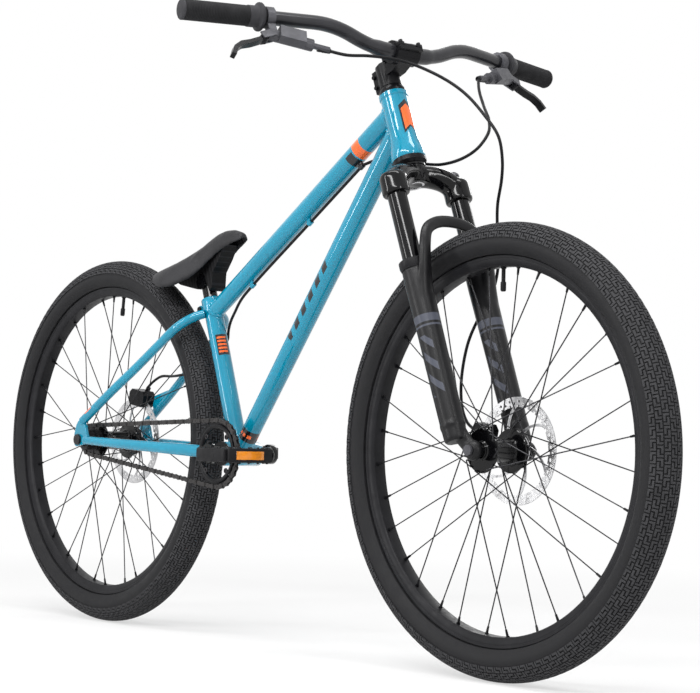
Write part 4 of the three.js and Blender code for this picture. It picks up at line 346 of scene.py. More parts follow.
def swept(mesh_work, stations, sides, closed=False):
    """Extrudes a unit circle through placings, each of which may scale it."""
    loop = bmesh.ops.create_circle(mesh_work, segments=sides, radius=1.0)["verts"]
    edges = list({edge for vert in loop for edge in vert.link_edges})
    bmesh.ops.transform(mesh_work, matrix=stations[0], verts=loop)
    first, last = edges, stations[0]
    for station in stations[1:]:
        made = bmesh.ops.extrude_edge_only(mesh_work, edges=edges)["geom"]
        loop = [item for item in made if isinstance(item, bmesh.types.BMVert)]
        inside = set(loop)
        edges = [item for item in made if isinstance(item, bmesh.types.BMEdge) and set(item.verts) <= inside]
        bmesh.ops.transform(mesh_work, matrix=station @ last.inverted(), verts=loop)
        last = station
    if closed:
        bmesh.ops.bridge_loops(mesh_work, edges=first + edges)
    else:
        bmesh.ops.edgeloop_fill(mesh_work, edges=first)
        bmesh.ops.edgeloop_fill(mesh_work, edges=edges)


def evenly(fine, count):
    """Places evenly spaced by length along a fine run of places."""
    lengths = [0.0]
    for one, two in zip(fine, fine[1:]):
        lengths.append(lengths[-1] + (two - one).length)
    even, index = [], 0
    for step in range(count + 1):
        wanted = lengths[-1] * step / count
        while index < len(fine) - 2 and lengths[index + 1] < wanted:
            index += 1
        span = max(lengths[index + 1] - lengths[index], 1e-9)
        even.append(fine[index].lerp(fine[index + 1], min(1.0, (wanted - lengths[index]) / span)))
    return even


CURVE_STEPS = 12
OFF_AXIS = Vector((0.31, 0.95, 0.05))  # sets how a rod is turned about its own axis


def smooth_route(places, count):
    """Places along a smooth curve through the given ones."""
    ends = [places[0] * 2 - places[1], *places, places[-1] * 2 - places[-2]]
    fine = []
    for one, two, three, four in zip(ends, ends[1:], ends[2:], ends[3:]):
        second = (two - one).length ** 0.5
        third = second + (three - two).length ** 0.5
        fourth = third + (four - three).length ** 0.5
        for step in range(CURVE_STEPS):
            at = second + (third - second) * step / CURVE_STEPS
            early = one.lerp(two, at / second)
            middle = two.lerp(three, (at - second) / (third - second))
            late = three.lerp(four, (at - third) / (fourth - third))
            early = early.lerp(middle, at / third)
            late = middle.lerp(late, (at - second) / (fourth - second))
            fine.append(early.lerp(late, (at - second) / (third - second)))
    fine.append(places[-1])
    return evenly(fine, count)


def rounded_route(corners, rounding, steps=6):
    """Places along straight runs, with each inner corner rounded."""
    made = [corners[0]]
    for before, corner, after in zip(corners, corners[1:], corners[2:]):
        start = corner + (before - corner).normalized() * rounding * MM
        end = corner + (after - corner).normalized() * rounding * MM
        for step in range(steps + 1):
            share = step / steps
            made.append(start.lerp(corner, share).lerp(corner.lerp(end, share), share))
    return [*made, corners[-1]]


def stations_along(places, sizes, across=LEFT):
    """Placings along a route, kept from twisting, each scaled to [half width, half height] mm."""
    made = []
    side = across
    for index, place in enumerate(places):
        ahead = places[min(index + 1, len(places) - 1)] - places[max(index - 1, 0)]
        placing = aimed_at(place, ahead, side)
        side = placing.to_3x3().col[0].copy()
        size = sizes(index / (len(places) - 1)) if callable(sizes) else sizes
        made.append(placing @ Matrix.Diagonal((size[0] * MM, size[1] * MM, MM, 1)))
    return made


def tube(mesh_work, places, radius, sides=12):
    """A round tube along a route, with its radius in millimetres, or one worked out from each place."""
    stations = stations_along(places, [1, 1])
    for index, place in enumerate(places):
        size = radius(place) if callable(radius) else radius
        stations[index] = stations[index] @ Matrix.Diagonal((size, size, 1, 1))
    swept(mesh_work, stations, sides)


def rod(mesh_work, start, end, radius, sides=24, end_radius=None):
    """A straight round rod, which may narrow to another radius."""
    last = radius if end_radius is None else end_radius
    place = aimed_at(start, end - start, OFF_AXIS)
    length = (end - start).length
    stations = [
        place @ Matrix.Diagonal((radius * MM, radius * MM, 1, 1)),
        place @ Matrix.Translation((0, 0, length)) @ Matrix.Diagonal((last * MM, last * MM, 1, 1)),
    ]
    swept(mesh_work, stations, sides)


def plate(mesh_work, outline, thickness, place):
    """A flat plate from an outline in millimetres, centred on a placing's XY plane."""
    before = set(mesh_work.verts)
    corners = [mesh_work.verts.new((x * MM, y * MM, -thickness * MM / 2)) for x, y in outline]
    face = mesh_work.faces.new(corners)
    made = bmesh.ops.extrude_face_region(mesh_work, geom=[face], use_keep_orig=True)["geom"]
    top = [item for item in made if isinstance(item, bmesh.types.BMVert)]
    bmesh.ops.translate(mesh_work, vec=(0, 0, thickness * MM), verts=top)
    bmesh.ops.transform(mesh_work, matrix=place, verts=fresh(mesh_work, before))


def block(mesh_work, size, place, edge=0.8):
    """A box of [x, y, z] millimetres with rounded edges."""
    before = set(mesh_work.verts)
    scaled = Matrix.Diagonal((*[side * MM for side in size], 1))
    made = bmesh.ops.create_cube(mesh_work, size=1.0, matrix=scaled)["verts"]
    edges = list({edge_line for vert in made for edge_line in vert.link_edges})
    bmesh.ops.bevel(
        mesh_work, geom=edges, offset=edge * MM, segments=2, profile=0.5, affect="EDGES", material=-1
    )
    bmesh.ops.transform(mesh_work, matrix=place, verts=fresh(mesh_work, before))


def bolt_head(mesh_work, place, radius, height):
    """A cap-head bolt: a round head with a six-sided socket."""
    rows = [
        [0, 0], [0, radius], [height * 0.8, radius], [height, radius * 0.85], [height, radius * 0.5],
        [height * 0.4, radius * 0.45], [height * 0.4, 0],
    ]
    turned(mesh_work, rows, 12, place)


def dressed(name, body, material, bevel):
    """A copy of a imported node, merged, with rounded edges and smooth shading."""
    work = bmesh.new()
    work.from_mesh(nodes[name].data)
    bmesh.ops.remove_doubles(work, verts=work.verts, dist=MERGE)
    bmesh.ops.dissolve_limit(work, angle_limit=FLAT, verts=work.verts, edges=work.edges)
    return finished(work, name + "_dressed", body, material, [name], bevel=bevel)


def body_of(name):
    """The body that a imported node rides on."""
    return next(body for body, held in frame["record"]["behaviour"]["bodies"].items() if name in held)


def apply_modifiers(piece):
    """Takes the shape that the modifiers make as the piece's own mesh."""
    mesh = bpy.data.meshes.new_from_object(piece.evaluated_get(bpy.context.evaluated_depsgraph_get()))
    piece.modifiers.clear()
    piece.data = mesh


def settle(piece, passes):
    """Evens out the small steps of a remeshed surface."""
    work = bmesh.new()
    work.from_mesh(piece.data)
    for _ in range(passes):
        bmesh.ops.smooth_vert(
            work, verts=work.verts, factor=0.5, use_axis_x=True, use_axis_y=True, use_axis_z=True
        )
    work.to_mesh(piece.data)
    work.free()


def remeshed(piece, voxel, passes):
    """Welds a piece into one even skin, with a voxel in millimetres."""
    remesh = piece.modifiers.new("remesh", "REMESH")
    remesh.mode = "VOXEL"
    remesh.voxel_size = voxel * MM
    apply_modifiers(piece)
    settle(piece, passes)


def shaded_smooth(piece):
    for face in piece.data.polygons:
        face.use_smooth = True


def cast(mesh_work, name, body, material, replaces, voxel, passes):
    """Welds overlapping closed shapes into one casting with soft inner corners."""
    piece = finished(mesh_work, name, body, material, replaces)
    remeshed(piece, voxel, passes)
    shaded_smooth(piece)


# ---------------------------------------------------------------- main places

HALF_WHEELBASE, AXLE_HEIGHT = 517.5, 335
HEAD_TUBE, HEAD_RING, FORK_LENGTH, FORK_OFFSET = 115, 12, 481.6, 39.4
FRONT_RISE = HEAD_TUBE + HEAD_RING + FORK_LENGTH
SEAT_TUBE, SEAT_COLLAR_MIDDLE, POST_RADIUS = 285, 13.5, 12.7
SHELL_RADIUS = 20.5
CRANK_LENGTH = 170

rear_axle = spot(-HALF_WHEELBASE, 0, AXLE_HEIGHT)
front_axle = spot(HALF_WHEELBASE, 0, AXLE_HEIGHT)
bottom_bracket = spot(-116.5, 0, 317.5)
head_lean = math.radians(21)
steering_up = Vector((-math.sin(head_lean), 0, math.cos(head_lean)))
steering_ahead = Vector((math.cos(head_lean), 0, math.sin(head_lean)))
head_top = front_axle - steering_ahead * FORK_OFFSET * MM + steering_up * FRONT_RISE * MM
seat_lean = math.radians(19.5)
seat_up = Vector((-math.sin(seat_lean), 0, math.cos(seat_lean)))
steering = Matrix.Translation(head_top) @ Matrix.Rotation(-head_lean, 4, "Y")
sideways = aimed_at(Vector(), LEFT, AHEAD)


def on_steering(ahead, across, rise):
    """A place measured from the head tube's top, along and across the steering axis."""
    return steering @ spot(ahead, across, rise)


def on_seat(rise):
    """A place up the seat tube's axis."""
    return bottom_bracket + seat_up * rise * MM


def side_place(centre):
    """A placing whose Z runs to the rider's left, with X forward and Y down."""
    return Matrix.Translation(centre) @ sideways


# ---------------------------------------------------------------- frame tubes

top_tube_head = on_steering(0, 0, -27.5)
top_tube_seat = on_seat(SEAT_TUBE - 26.5)
top_tube_run = (top_tube_seat - top_tube_head).normalized()
down_tube_head = on_steering(0, 0, -58)
down_tube_run = (bottom_bracket - down_tube_head).normalized()

GUIDE_SHARES = [0.2, 0.47, 0.79]
GUIDE_DROP = 7.3
TOP_TUBE_RADIUS, DOWN_TUBE_RADIUS, TUBE_TAPER = 17, 18, 2.2


def guide_place(share):
    """The middle of a hose guide under the top tube."""
    under = Vector((-top_tube_run.z, 0, top_tube_run.x))
    radius = TOP_TUBE_RADIUS - TUBE_TAPER * share
    return top_tube_head.lerp(top_tube_seat, share) + under * (radius + GUIDE_DROP) * MM


def top_tube_marks(finish, painted):
    """A plain orange sleeve near the head, with a small black block behind it on the lower side."""
    run = finish.along(top_tube_head, top_tube_run)
    under = finish.along(top_tube_head, Vector((-top_tube_run.z, 0, top_tube_run.x)))
    painted = finish.blend(band(finish, run, 0.085, 0.104), painted, ORANGE)
    return finish.blend(band(finish, run, 0.107, 0.124) * (under > 0.001), painted, DECAL_BLACK)


def down_tube_marks(finish, painted):
    """Plain dark bars along the side, and a dark band with an orange line at the foot."""
    run = finish.along(down_tube_head, down_tube_run)
    above = finish.along(down_tube_head, Vector((down_tube_run.z, 0, -down_tube_run.x)))
    slant = run + above * 0.6
    stripes = finish.math("PINGPONG", slant, 0.014) > 0.0062
    bars = stripes * band(finish, run, 0.25, 0.41) * band(finish, above, -0.006, 0.006)
    painted = finish.blend(bars, painted, DECAL_BLACK)
    foot = band(finish, run, 0.598, 0.62)
    painted = finish.blend(foot, painted, DECAL_BLACK)
    line = band(finish, run, 0.606, 0.612) * (finish.math("PINGPONG", above, 0.004) > 0.0016)
    painted = finish.blend(line, painted, ORANGE)
    dot = band(finish, run, 0.576, 0.588) * (above > 0.009)
    return finish.blend(dot, painted, ORANGE)


def seat_tube_marks(finish, painted):
    """A small black label with an orange panel on the front right of the tube."""
    rise = finish.along(bottom_bracket, seat_up)
    ahead = finish.along(bottom_bracket, Vector((seat_up.z, 0, -seat_up.x)))
    across = finish.along(bottom_bracket, RIGHT)
    label = band(finish, rise, 0.176, 0.214) * (ahead - across * 0.55 > 0.0015) * (across > -0.007)
    painted = finish.blend(label, painted, DECAL_BLACK)
    panel = band(finish, rise, 0.179, 0.211) * (ahead - across * 0.55 > 0.004) * (across > -0.003)
    rows = finish.math("PINGPONG", rise, 0.0032) > 0.0014
    return finish.blend(panel * rows, painted, ORANGE)


def head_tube_marks(finish, painted):
    """A generic badge: an orange field with a dark edge on the front."""
    rise = finish.along(head_top, steering_up)
    ahead = finish.along(head_top, steering_ahead)
    across = finish.along(head_top, LEFT)
    wide = finish.math("ABSOLUTE", across)
    field = band(finish, rise + wide * 0.9, -0.066, -0.018) * (wide < 0.0125) * (ahead > 0)
    painted = finish.blend(field, painted, DECAL_BLACK)
    inner = band(finish, rise + wide * 0.9, -0.062, -0.026) * (wide < 0.01) * (ahead > 0)
    return finish.blend(inner, painted, ORANGE)


plain_paint = frame_paint("teal_lacquer")


def make_head_tube():
    work = bmesh.new()
    lip = 1.6
    rows = [
        [0, 18.5], [0, 21.5 + lip * 0.4], [-1, 21.5 + lip], [-7, 21.5 + lip], [-9, 21.5], [-67, 21.5],
        [-84, 22.4], [-96, 25.2], [-105, 26.6], [-113.5, 27], [-115, 26.4], [-115, 18.5],
    ]
    turned(work, rows, 56, steering, closed=True)
    finished(
        work, "head_tube_painted", "frame", frame_paint("teal_head_tube", head_tube_marks), ["head_tube"]
    )


def crossing(start, run, radius, centre, axis, other_radius, steps=40):
    """Where a round tube's skin meets a round tube it is welded to."""
    place = aimed_at(start, run)
    found = []
    for step in range(steps):
        angle = FULL_TURN * step / steps
        edge = place @ Vector((math.cos(angle) * radius * MM, math.sin(angle) * radius * MM, 0))
        flat_run = run - axis * run.dot(axis)
        away = edge - centre
        flat_away = away - axis * away.dot(axis)
        a = flat_run.length_squared
        b = 2 * flat_run.dot(flat_away)
        c = flat_away.length_squared - (other_radius * MM) ** 2
        inside = max(b * b - 4 * a * c, 0)
        found.append(edge + run * ((-b + math.sqrt(inside)) / (2 * a)))
    return found


def weld_bead(work, places, radius=2.3):
    """A raised fillet of weld round a joint."""
    count = len(places)
    stations = []
    middle = sum(places, Vector()) / count
    for index, place in enumerate(places):
        ahead = places[(index + 1) % count] - places[index - 1]
        placing = aimed_at(place, ahead, place - middle)
        swell = radius * MM * (1.0 + 0.1 * math.sin(index * FULL_TURN / 2.5))
        stations.append(placing @ Matrix.Diagonal((swell, swell, MM, 1)))
    swept(work, stations, 8, closed=True)


def tapered_tube(work, start, end, radius):
    """A round frame tube, a little slimmer at its far end."""
    places = [start.lerp(end, step / 8) for step in range(9)]
    swept(work, stations_along(places, lambda share: [radius - TUBE_TAPER * share] * 2), 40)


def make_top_tube():
    work = bmesh.new()
    tapered_tube(
        work, top_tube_head + top_tube_run * 0.014, top_tube_seat - top_tube_run * 0.006, TOP_TUBE_RADIUS
    )
    weld_bead(work, crossing(top_tube_head, top_tube_run, 16.9, head_top, steering_up, 21.5))
    weld_bead(work, crossing(top_tube_seat, -top_tube_run, 14.9, bottom_bracket, seat_up, 17.2))
    for share in GUIDE_SHARES:
        place = aimed_at(guide_place(share), top_tube_run)
        turned(
            work, [[-4.5, 2.8], [-4.5, 4.2], [-4.1, 4.6], [4.1, 4.6], [4.5, 4.2], [4.5, 2.8]], 20, place,
            closed=True
        )
        block(work, [4.4, 5, 8], place @ Matrix.Translation(spot(0, -5.35, 0)), 0.8)
    finished(work, "top_tube_painted", "frame", frame_paint("teal_top_tube", top_tube_marks), ["top_tube"])


def make_down_tube():
    work = bmesh.new()
    start, end = down_tube_head + down_tube_run * 0.016, bottom_bracket - down_tube_run * 0.012
    tapered_tube(work, start, end, DOWN_TUBE_RADIUS)
    weld_bead(work, crossing(down_tube_head, down_tube_run, 17.9, head_top, steering_up, 22.0))
    weld_bead(work, crossing(bottom_bracket, -down_tube_run, 15.8, bottom_bracket, LEFT, SHELL_RADIUS))
    finished(
        work, "down_tube_painted", "frame", frame_paint("teal_down_tube", down_tube_marks), ["down_tube"]
    )


def make_seat_tube():
    work = bmesh.new()
    rows = [
        [8, 0], [8, 15.9], [256, 15.9], [258.5, 16.6], [260, 18], [283.5, 18], [285, 17.2], [285, 13.4],
        [262, 13.3], [262, 0],
    ]
    turned(work, rows, 40, aimed_at(bottom_bracket, seat_up))
    weld_bead(work, crossing(bottom_bracket, seat_up, 15.9, bottom_bracket, LEFT, SHELL_RADIUS))
    lug = clamp_place()
    for side in (-1, 1):
        rod(work, lug + spot(0, side * 4, 0), lug + spot(0, side * 14.5, 0), 7, 20)
    finished(
        work, "seat_tube_painted", "frame", frame_paint("teal_seat_tube", seat_tube_marks), ["seat_tube"]
    )


def make_bottom_bracket_shell():
    work = bmesh.new()
    rows = [[-36.5, 18.6], [-36.5, 20], [-35.8, 20.5], [35.8, 20.5], [36.5, 20], [36.5, 18.6]]
    turned(work, rows, 40, side_place(bottom_bracket), closed=True)
    finished(work, "bottom_bracket_shell_painted", "frame", plain_paint, ["bottom_bracket_shell"])


def clamp_place():
    """The middle of the seat clamp's cross bolt, behind the post."""
    ahead_of_post = Vector((seat_up.z, 0, -seat_up.x))
    return on_seat(SEAT_TUBE - SEAT_COLLAR_MIDDLE) - ahead_of_post * (POST_RADIUS + 3 + 1.2) * MM


CHAINSTAY_RUN = [0.045, 0.3, 0.6, 0.76, 0.87, 0.965]
CHAINSTAY_SPREAD = [1.045, 0.95, 0.73, 0.59, 0.47, 0.4]
SEATSTAY_RUN = [0.03, 0.3, 0.52, 0.72, 0.87, 0.955, 0.99]
SEATSTAY_SPREAD = [1.05, 0.97, 0.86, 0.79, 0.72, 0.5, 0.27]
SEATSTAY_FOOT_RISE = 28
HUB_HALF, FRONT_HUB_HALF = 67.5, 50
DROPOUT_THICKNESS, BRAKE_LUG_THICKNESS = 5.5, 7
ROTOR_INSET, ROTOR_THICKNESS = 15.3, 1.8
CALIPER_REACH, CALIPER_ANGLE = 81.5, math.radians(80)


def stay_route(runs, spreads, foot, head, foot_rise, count):
    """Places along a left stay, from shares of its run and of the hub's half width."""
    places = []
    for run, spread in zip(runs, spreads):
        height = foot.z + foot_rise * MM + (head.z - foot.z - foot_rise * MM) * run
        places.append(Vector((foot.lerp(head, run).x, 0, height)) + spot(0, spread * HUB_HALF, 0))
    return smooth_route(places, count)


def mirrored(place, side):
    """The place itself for the left side, its mirror for the right."""
    return Vector((place.x, place.y * side, place.z))


def seatstay_marks(finish, painted):
    """A small orange tab on the upper side of the right stay, low down."""
    rise = finish.along(Vector(), UP)
    across = finish.along(Vector(), RIGHT)
    above = finish.along(Vector(), Vector((-0.534, 0, 0.8455)))
    tab = band(finish, rise, 0.383, 0.394) * (across > 0) * (above > 0.5845)
    return finish.blend(tab, painted, ORANGE)


def make_stays():
    seat_joint = on_seat(SEAT_TUBE - 26)
    chainstay = stay_route(CHAINSTAY_RUN, CHAINSTAY_SPREAD, rear_axle, bottom_bracket, 0, 30)
    seatstay = stay_route(SEATSTAY_RUN, SEATSTAY_SPREAD, rear_axle, seat_joint, SEATSTAY_FOOT_RISE, 44)
    seatstay_paint = frame_paint("teal_seatstay", seatstay_marks)
    for side, word in SIDES:
        low = [mirrored(place, side) for place in chainstay]
        high = [mirrored(place, side) for place in seatstay]
        work = bmesh.new()
        swept(work, stations_along(low, lambda share: [7.5, 7.5 + 4 * share], LEFT), 28)
        foot_y = side * (HUB_HALF + DROPOUT_THICKNESS / 2)
        outline = [
            [-15, 5], [-15, 10.5], [-9, 27], [-3, 34], [2, 36], [10, 34.5], [21.6, 27], [27, 10],
            [28.8, 7.5], [24, -7.5], [4, -11], [-8, -13], [-13.5, -10], [-15, -5], [0, -5.2], [3.6, -3.6],
            [5.2, 0], [3.6, 3.6], [0, 5.2],
        ]
        rows = [[x, -z] for x, z in outline]
        plate(work, rows, DROPOUT_THICKNESS, side_place(rear_axle + spot(0, foot_y, 0)))
        finished(
            work, "chainstay_" + word + "_painted", "frame", plain_paint, ["chainstay_" + word], bevel=0.7
        )

        work = bmesh.new()
        swept(work, stations_along(high, [8, 8]), 24)
        if side > 0:
            reach_x = math.cos(CALIPER_ANGLE) * CALIPER_REACH
            reach_z = math.sin(CALIPER_ANGLE) * CALIPER_REACH
            caliper = rear_axle + spot(reach_x, 0, reach_z)
            corners = [high[5], high[15], caliper + spot(33.6, 0, 4.5), caliper + spot(26.9, 0, -15)]
            rows = [[(corner.x - caliper.x) / MM, -(corner.z - caliper.z) / MM] for corner in corners]
            lug_y = HUB_HALF - ROTOR_INSET + ROTOR_THICKNESS + 4 + BRAKE_LUG_THICKNESS
            plate(work, rows, BRAKE_LUG_THICKNESS, side_place(Vector((caliper.x, lug_y * MM, caliper.z))))
        finished(
            work, "seatstay_" + word + "_painted", "frame", seatstay_paint, ["seatstay_" + word], bevel=0.6
        )


make_head_tube()
make_top_tube()
make_down_tube()
make_seat_tube()
make_bottom_bracket_shell()
make_stays()

# ---------------------------------------------------------------- wheels

CASING_EDGE = math.radians(137)
TYRE_WALL = 3.5
SPOKES, CROSSINGS, SPOKE_CIRCLE, SPOKE_LACING_GAP = 16, 3, 31, 1.7
RIM_SEAT, RIM_STAGGER = 268.6, 22 / 5
VALVE_FOOT = 269
TREAD_PITCHES = 120
TREAD_HEIGHT = 1.9
TREAD_ROOT = 1.0
TYRE_SECTION = 28.0
TYRE_CROWN = 307.0
TYRE_RADIUS = 335.0
TREAD_ROWS = [1.0, 11.2, 21.4, 31.6]
LONG_HOOK = [[0, 0], [10.8, 0], [10.8, 3.1], [3.1, 3.1], [3.1, 8.5], [0, 8.5]]
SHORT_HOOK = [[15.8, 8.5], [5.1, 8.5], [5.1, 5.3], [12.7, 5.3], [12.7, 0], [15.8, 0]]


# The casing, which is also the floor of the tread's grooves, is coloured darker than the tread blocks:
# painted shade in the grooves.
def sidewall_rubber(name, axle):
    finish = Finish(name)
    reach = finish.from_axle(axle)
    dust = finish.noise(55.0, 5.0, 0.6)
    tone = finish.blend(
        finish.ramp(dust, 0.25, 0.75), colour(0.007, 0.007, 0.008), colour(0.014, 0.014, 0.0155)
    )
    moulding_lines = band(finish, reach, 0.2885, 0.2955) + band(finish, reach, 0.3085, 0.3105)
    grain = finish.noise(900.0, 3.0) * 0.5 + finish.noise(120.0, 3.0) * 0.4
    normal = finish.bump(grain + moulding_lines * finish.math("PINGPONG", reach, 0.0009) * 900, 0.3, 0.0006)
    roughness = 0.55 + finish.ramp(dust, 0.3, 0.7) * 0.2
    return finish.surface(tone, roughness, normal, specular_ior_level=0.22)


# The tread blocks are coloured lighter than the casing: painted light on the block tops, with real dust
# spread unevenly over them by the noise.
def tread_rubber_painted_lit(name):
    finish = Finish(name)
    dust = finish.noise(70.0, 5.0, 0.6)
    tone = finish.blend(
        finish.ramp(dust, 0.25, 0.75), colour(0.024, 0.024, 0.026), colour(0.046, 0.046, 0.049)
    )
    normal = finish.bump(finish.noise(800.0, 4.0), 0.3, 0.0005)
    roughness = 0.6 + finish.ramp(dust, 0.3, 0.7) * 0.2
    return finish.surface(tone, roughness, normal, specular_ior_level=0.2)


def tread_blocks(work):
    """One pitch of interlocking hooks on both halves, bent to the tyre and repeated round it."""
    pitch = FULL_TURN * TYRE_RADIUS / TREAD_PITCHES
    for row, across in enumerate(TREAD_ROWS):
        for outline in (LONG_HOOK, SHORT_HOOK):
            for half in (-1, 1):
                shift = pitch * (0.5 if row % 2 else 0.0) + (pitch * 0.25 if half < 0 else 0.0)
                corners = []
                for around, over in outline:
                    over = 8.5 - over if row % 2 else over
                    corners.append(work.verts.new(((shift + around) * MM, half * (across + over) * MM, 0)))
                face = work.faces.new(corners)
                made = bmesh.ops.extrude_face_region(work, geom=[face], use_keep_orig=True)["geom"]
                top = [item for item in made if isinstance(item, bmesh.types.BMVert)]
                bmesh.ops.translate(work, vec=(0, 0, (TREAD_HEIGHT + TREAD_ROOT) * MM), verts=top)
    for vert in work.verts:
        lean = vert.co.y / (TYRE_SECTION * MM)
        reach = (TYRE_SECTION - TREAD_HEIGHT - TREAD_ROOT) * MM + vert.co.z
        radius = TYRE_CROWN * MM + reach * math.cos(lean)
        around = vert.co.x / (TYRE_RADIUS * MM)
        vert.co = Vector((radius * math.cos(around), radius * math.sin(around), reach * math.sin(lean)))
    bmesh.ops.spin(
        work,
        geom=work.verts[:] + work.edges[:] + work.faces[:],
        cent=(0, 0, 0),
        axis=(0, 0, 1),
        angle=FULL_TURN * (TREAD_PITCHES - 1) / TREAD_PITCHES,
        steps=TREAD_PITCHES - 1,
        use_duplicate=True,
    )


def make_tyre(word, axle, body):
    work = bmesh.new()
    tread_blocks(work)
    bmesh.ops.transform(work, matrix=side_place(axle), verts=work.verts)
    finished(work, word + "_tyre_tread", body, tread_rubber_painted_lit(word + "_tread_rubber_painted_lit"))
    rows = []
    for step in range(33):
        lean = -CASING_EDGE + 2 * CASING_EDGE * step / 32
        side_swell = TREAD_HEIGHT * min(1.0, max(0.0, (abs(lean) - math.radians(84)) / math.radians(14)))
        reach = TYRE_SECTION - TREAD_HEIGHT + side_swell
        rows.append([reach * math.sin(lean), TYRE_CROWN + reach * math.cos(lean)])
    inner = TYRE_SECTION - TYRE_WALL
    rows += [[13.1, 286.4], [13.1, 279.4], [9.7, 279.4], [9.7, 288.0]]
    for turned_by in (130, 100, 65, 30, 0, -30, -65, -100, -130):
        lean = math.radians(turned_by)
        rows.append([inner * math.sin(lean), TYRE_CROWN + inner * math.cos(lean)])
    rows += [[-9.7, 288.0], [-9.7, 279.4], [-13.1, 279.4], [-13.1, 286.4]]
    work = bmesh.new()
    turned(work, rows, 128, side_place(axle), closed=True)
    finished(
        work, word + "_tyre_casing", body, sidewall_rubber(word + "_sidewall_rubber", axle), [word + "_tyre"]
    )


def make_rim(word, axle, body):
    work = bmesh.new()
    rows = [
        [-15.8, 284.6], [-15.2, 285.5], [-13.9, 285.5], [-13.4, 284.9], [-13.4, 279], [13.4, 279],
        [13.4, 284.9], [13.9, 285.5], [15.2, 285.5], [15.8, 284.6], [15.5, 281.0], [15.1, 280.6],
        [15.1, 279.6], [15.2, 279.2], [12.1, 271.2], [10.6, 269.3], [9.6, 269], [-9.6, 269], [-10.6, 269.3],
        [-12.1, 271.2], [-15.2, 279.2], [-15.1, 279.6], [-15.1, 280.6], [-15.5, 281.0],
    ]
    turned(work, rows, 128, side_place(axle), closed=True)
    finished(work, word + "_rim_turned", body, rim_black, [word + "_rim"])


def spoke_ends(seat_y, valve_angle, side):
    """Pairs of (hub end, rim end) for the spokes on one side."""
    phase = valve_angle / FULL_TURN + (0.25 if side < 0 else 0.75) / SPOKES
    rim_y = side * RIM_STAGGER
    pairs = []
    for index in range(SPOKES):
        way = 1 if index % 2 else -1
        hub = FULL_TURN * (phase + (index + CROSSINGS * way) / SPOKES)
        rim = FULL_TURN * (phase + index / SPOKES)
        hub_y = seat_y + way * SPOKE_LACING_GAP / 2
        hub_end = spot(SPOKE_CIRCLE * math.cos(hub), hub_y, SPOKE_CIRCLE * math.sin(hub))
        rim_end = spot(RIM_SEAT * math.cos(rim), rim_y, RIM_SEAT * math.sin(rim))
        pairs.append((hub_end, rim_end))
    return pairs


def make_spokes(word, axle, body, flanges, valve_angle):
    for side, side_word, flange in ((-1, "right", flanges[0]), (1, "left", flanges[1])):
        seat = flange + math.copysign(4.7, flange)
        work = bmesh.new()
        nipples = bmesh.new()
        for hub_end, rim_end in spoke_ends(seat, valve_angle, side):
            start, end = axle + hub_end, axle + rim_end
            run = (end - start).normalized()
            rod(work, start, end, 1.0, 6)
            rod(work, start, Vector((start.x, flange * MM, start.z)), 1.1, 6)
            rod(nipples, end - run * 11 * MM, end + run * 2 * MM, 1.7, 8, 2.3)
            rod(nipples, end - run * 1.2 * MM, end + run * 2 * MM, 3.1, 8)
        finished(work, f"{word}_spokes_{side_word}_drawn", body, spoke_black, [f"{word}_spokes_{side_word}"])
        finished(nipples, f"{word}_spoke_nipples_{side_word}", body, satin_black)


def make_hub(word, axle, body, half, flanges, rotor_y, driver):
    right, left = flanges[0] - 1.5, flanges[1] + 1.5
    seal = half - 7.5
    mount = rotor_y - ROTOR_THICKNESS - 0.3
    rows = [
        [-half, 5.5], [-half, 9], [-half + 0.5, 9.5], [-seal, 9.5], [-seal, driver - 0.6],
        [-seal + 0.6, driver], [right - 1.5, driver], [right, driver + 1.5], [right, 32.2],
        [right + 0.8, 33], [right + 2.2, 33], [right + 3, 32.2], [right + 3, 25], [right + 5, 19.5],
        [right + 10, 17], [left - 10, 17], [left - 5, 19.5], [left - 3, 25], [left - 3, 32.2],
        [left - 2.2, 33], [left - 0.8, 33], [left, 32.2], [left, 22], [mount, 22], [mount, 13],
        [seal - 0.6, 13], [seal, 12.4], [seal, 9.5], [half - 0.5, 9.5], [half, 9], [half, 5.5],
    ]
    work = bmesh.new()
    turned(work, rows, 48, side_place(axle), closed=True)
    finished(work, word + "_hub_turned", body, gloss_black, [word + "_hub"])
    work = bmesh.new()
    for index in range(6):
        angle = FULL_TURN * index / 6
        place = side_place(axle + spot(20 * math.cos(angle), rotor_y, 20 * math.sin(angle)))
        bolt_head(work, place, 3.3, 1.6)
    finished(work, word + "_rotor_bolts", body, bolt_steel)


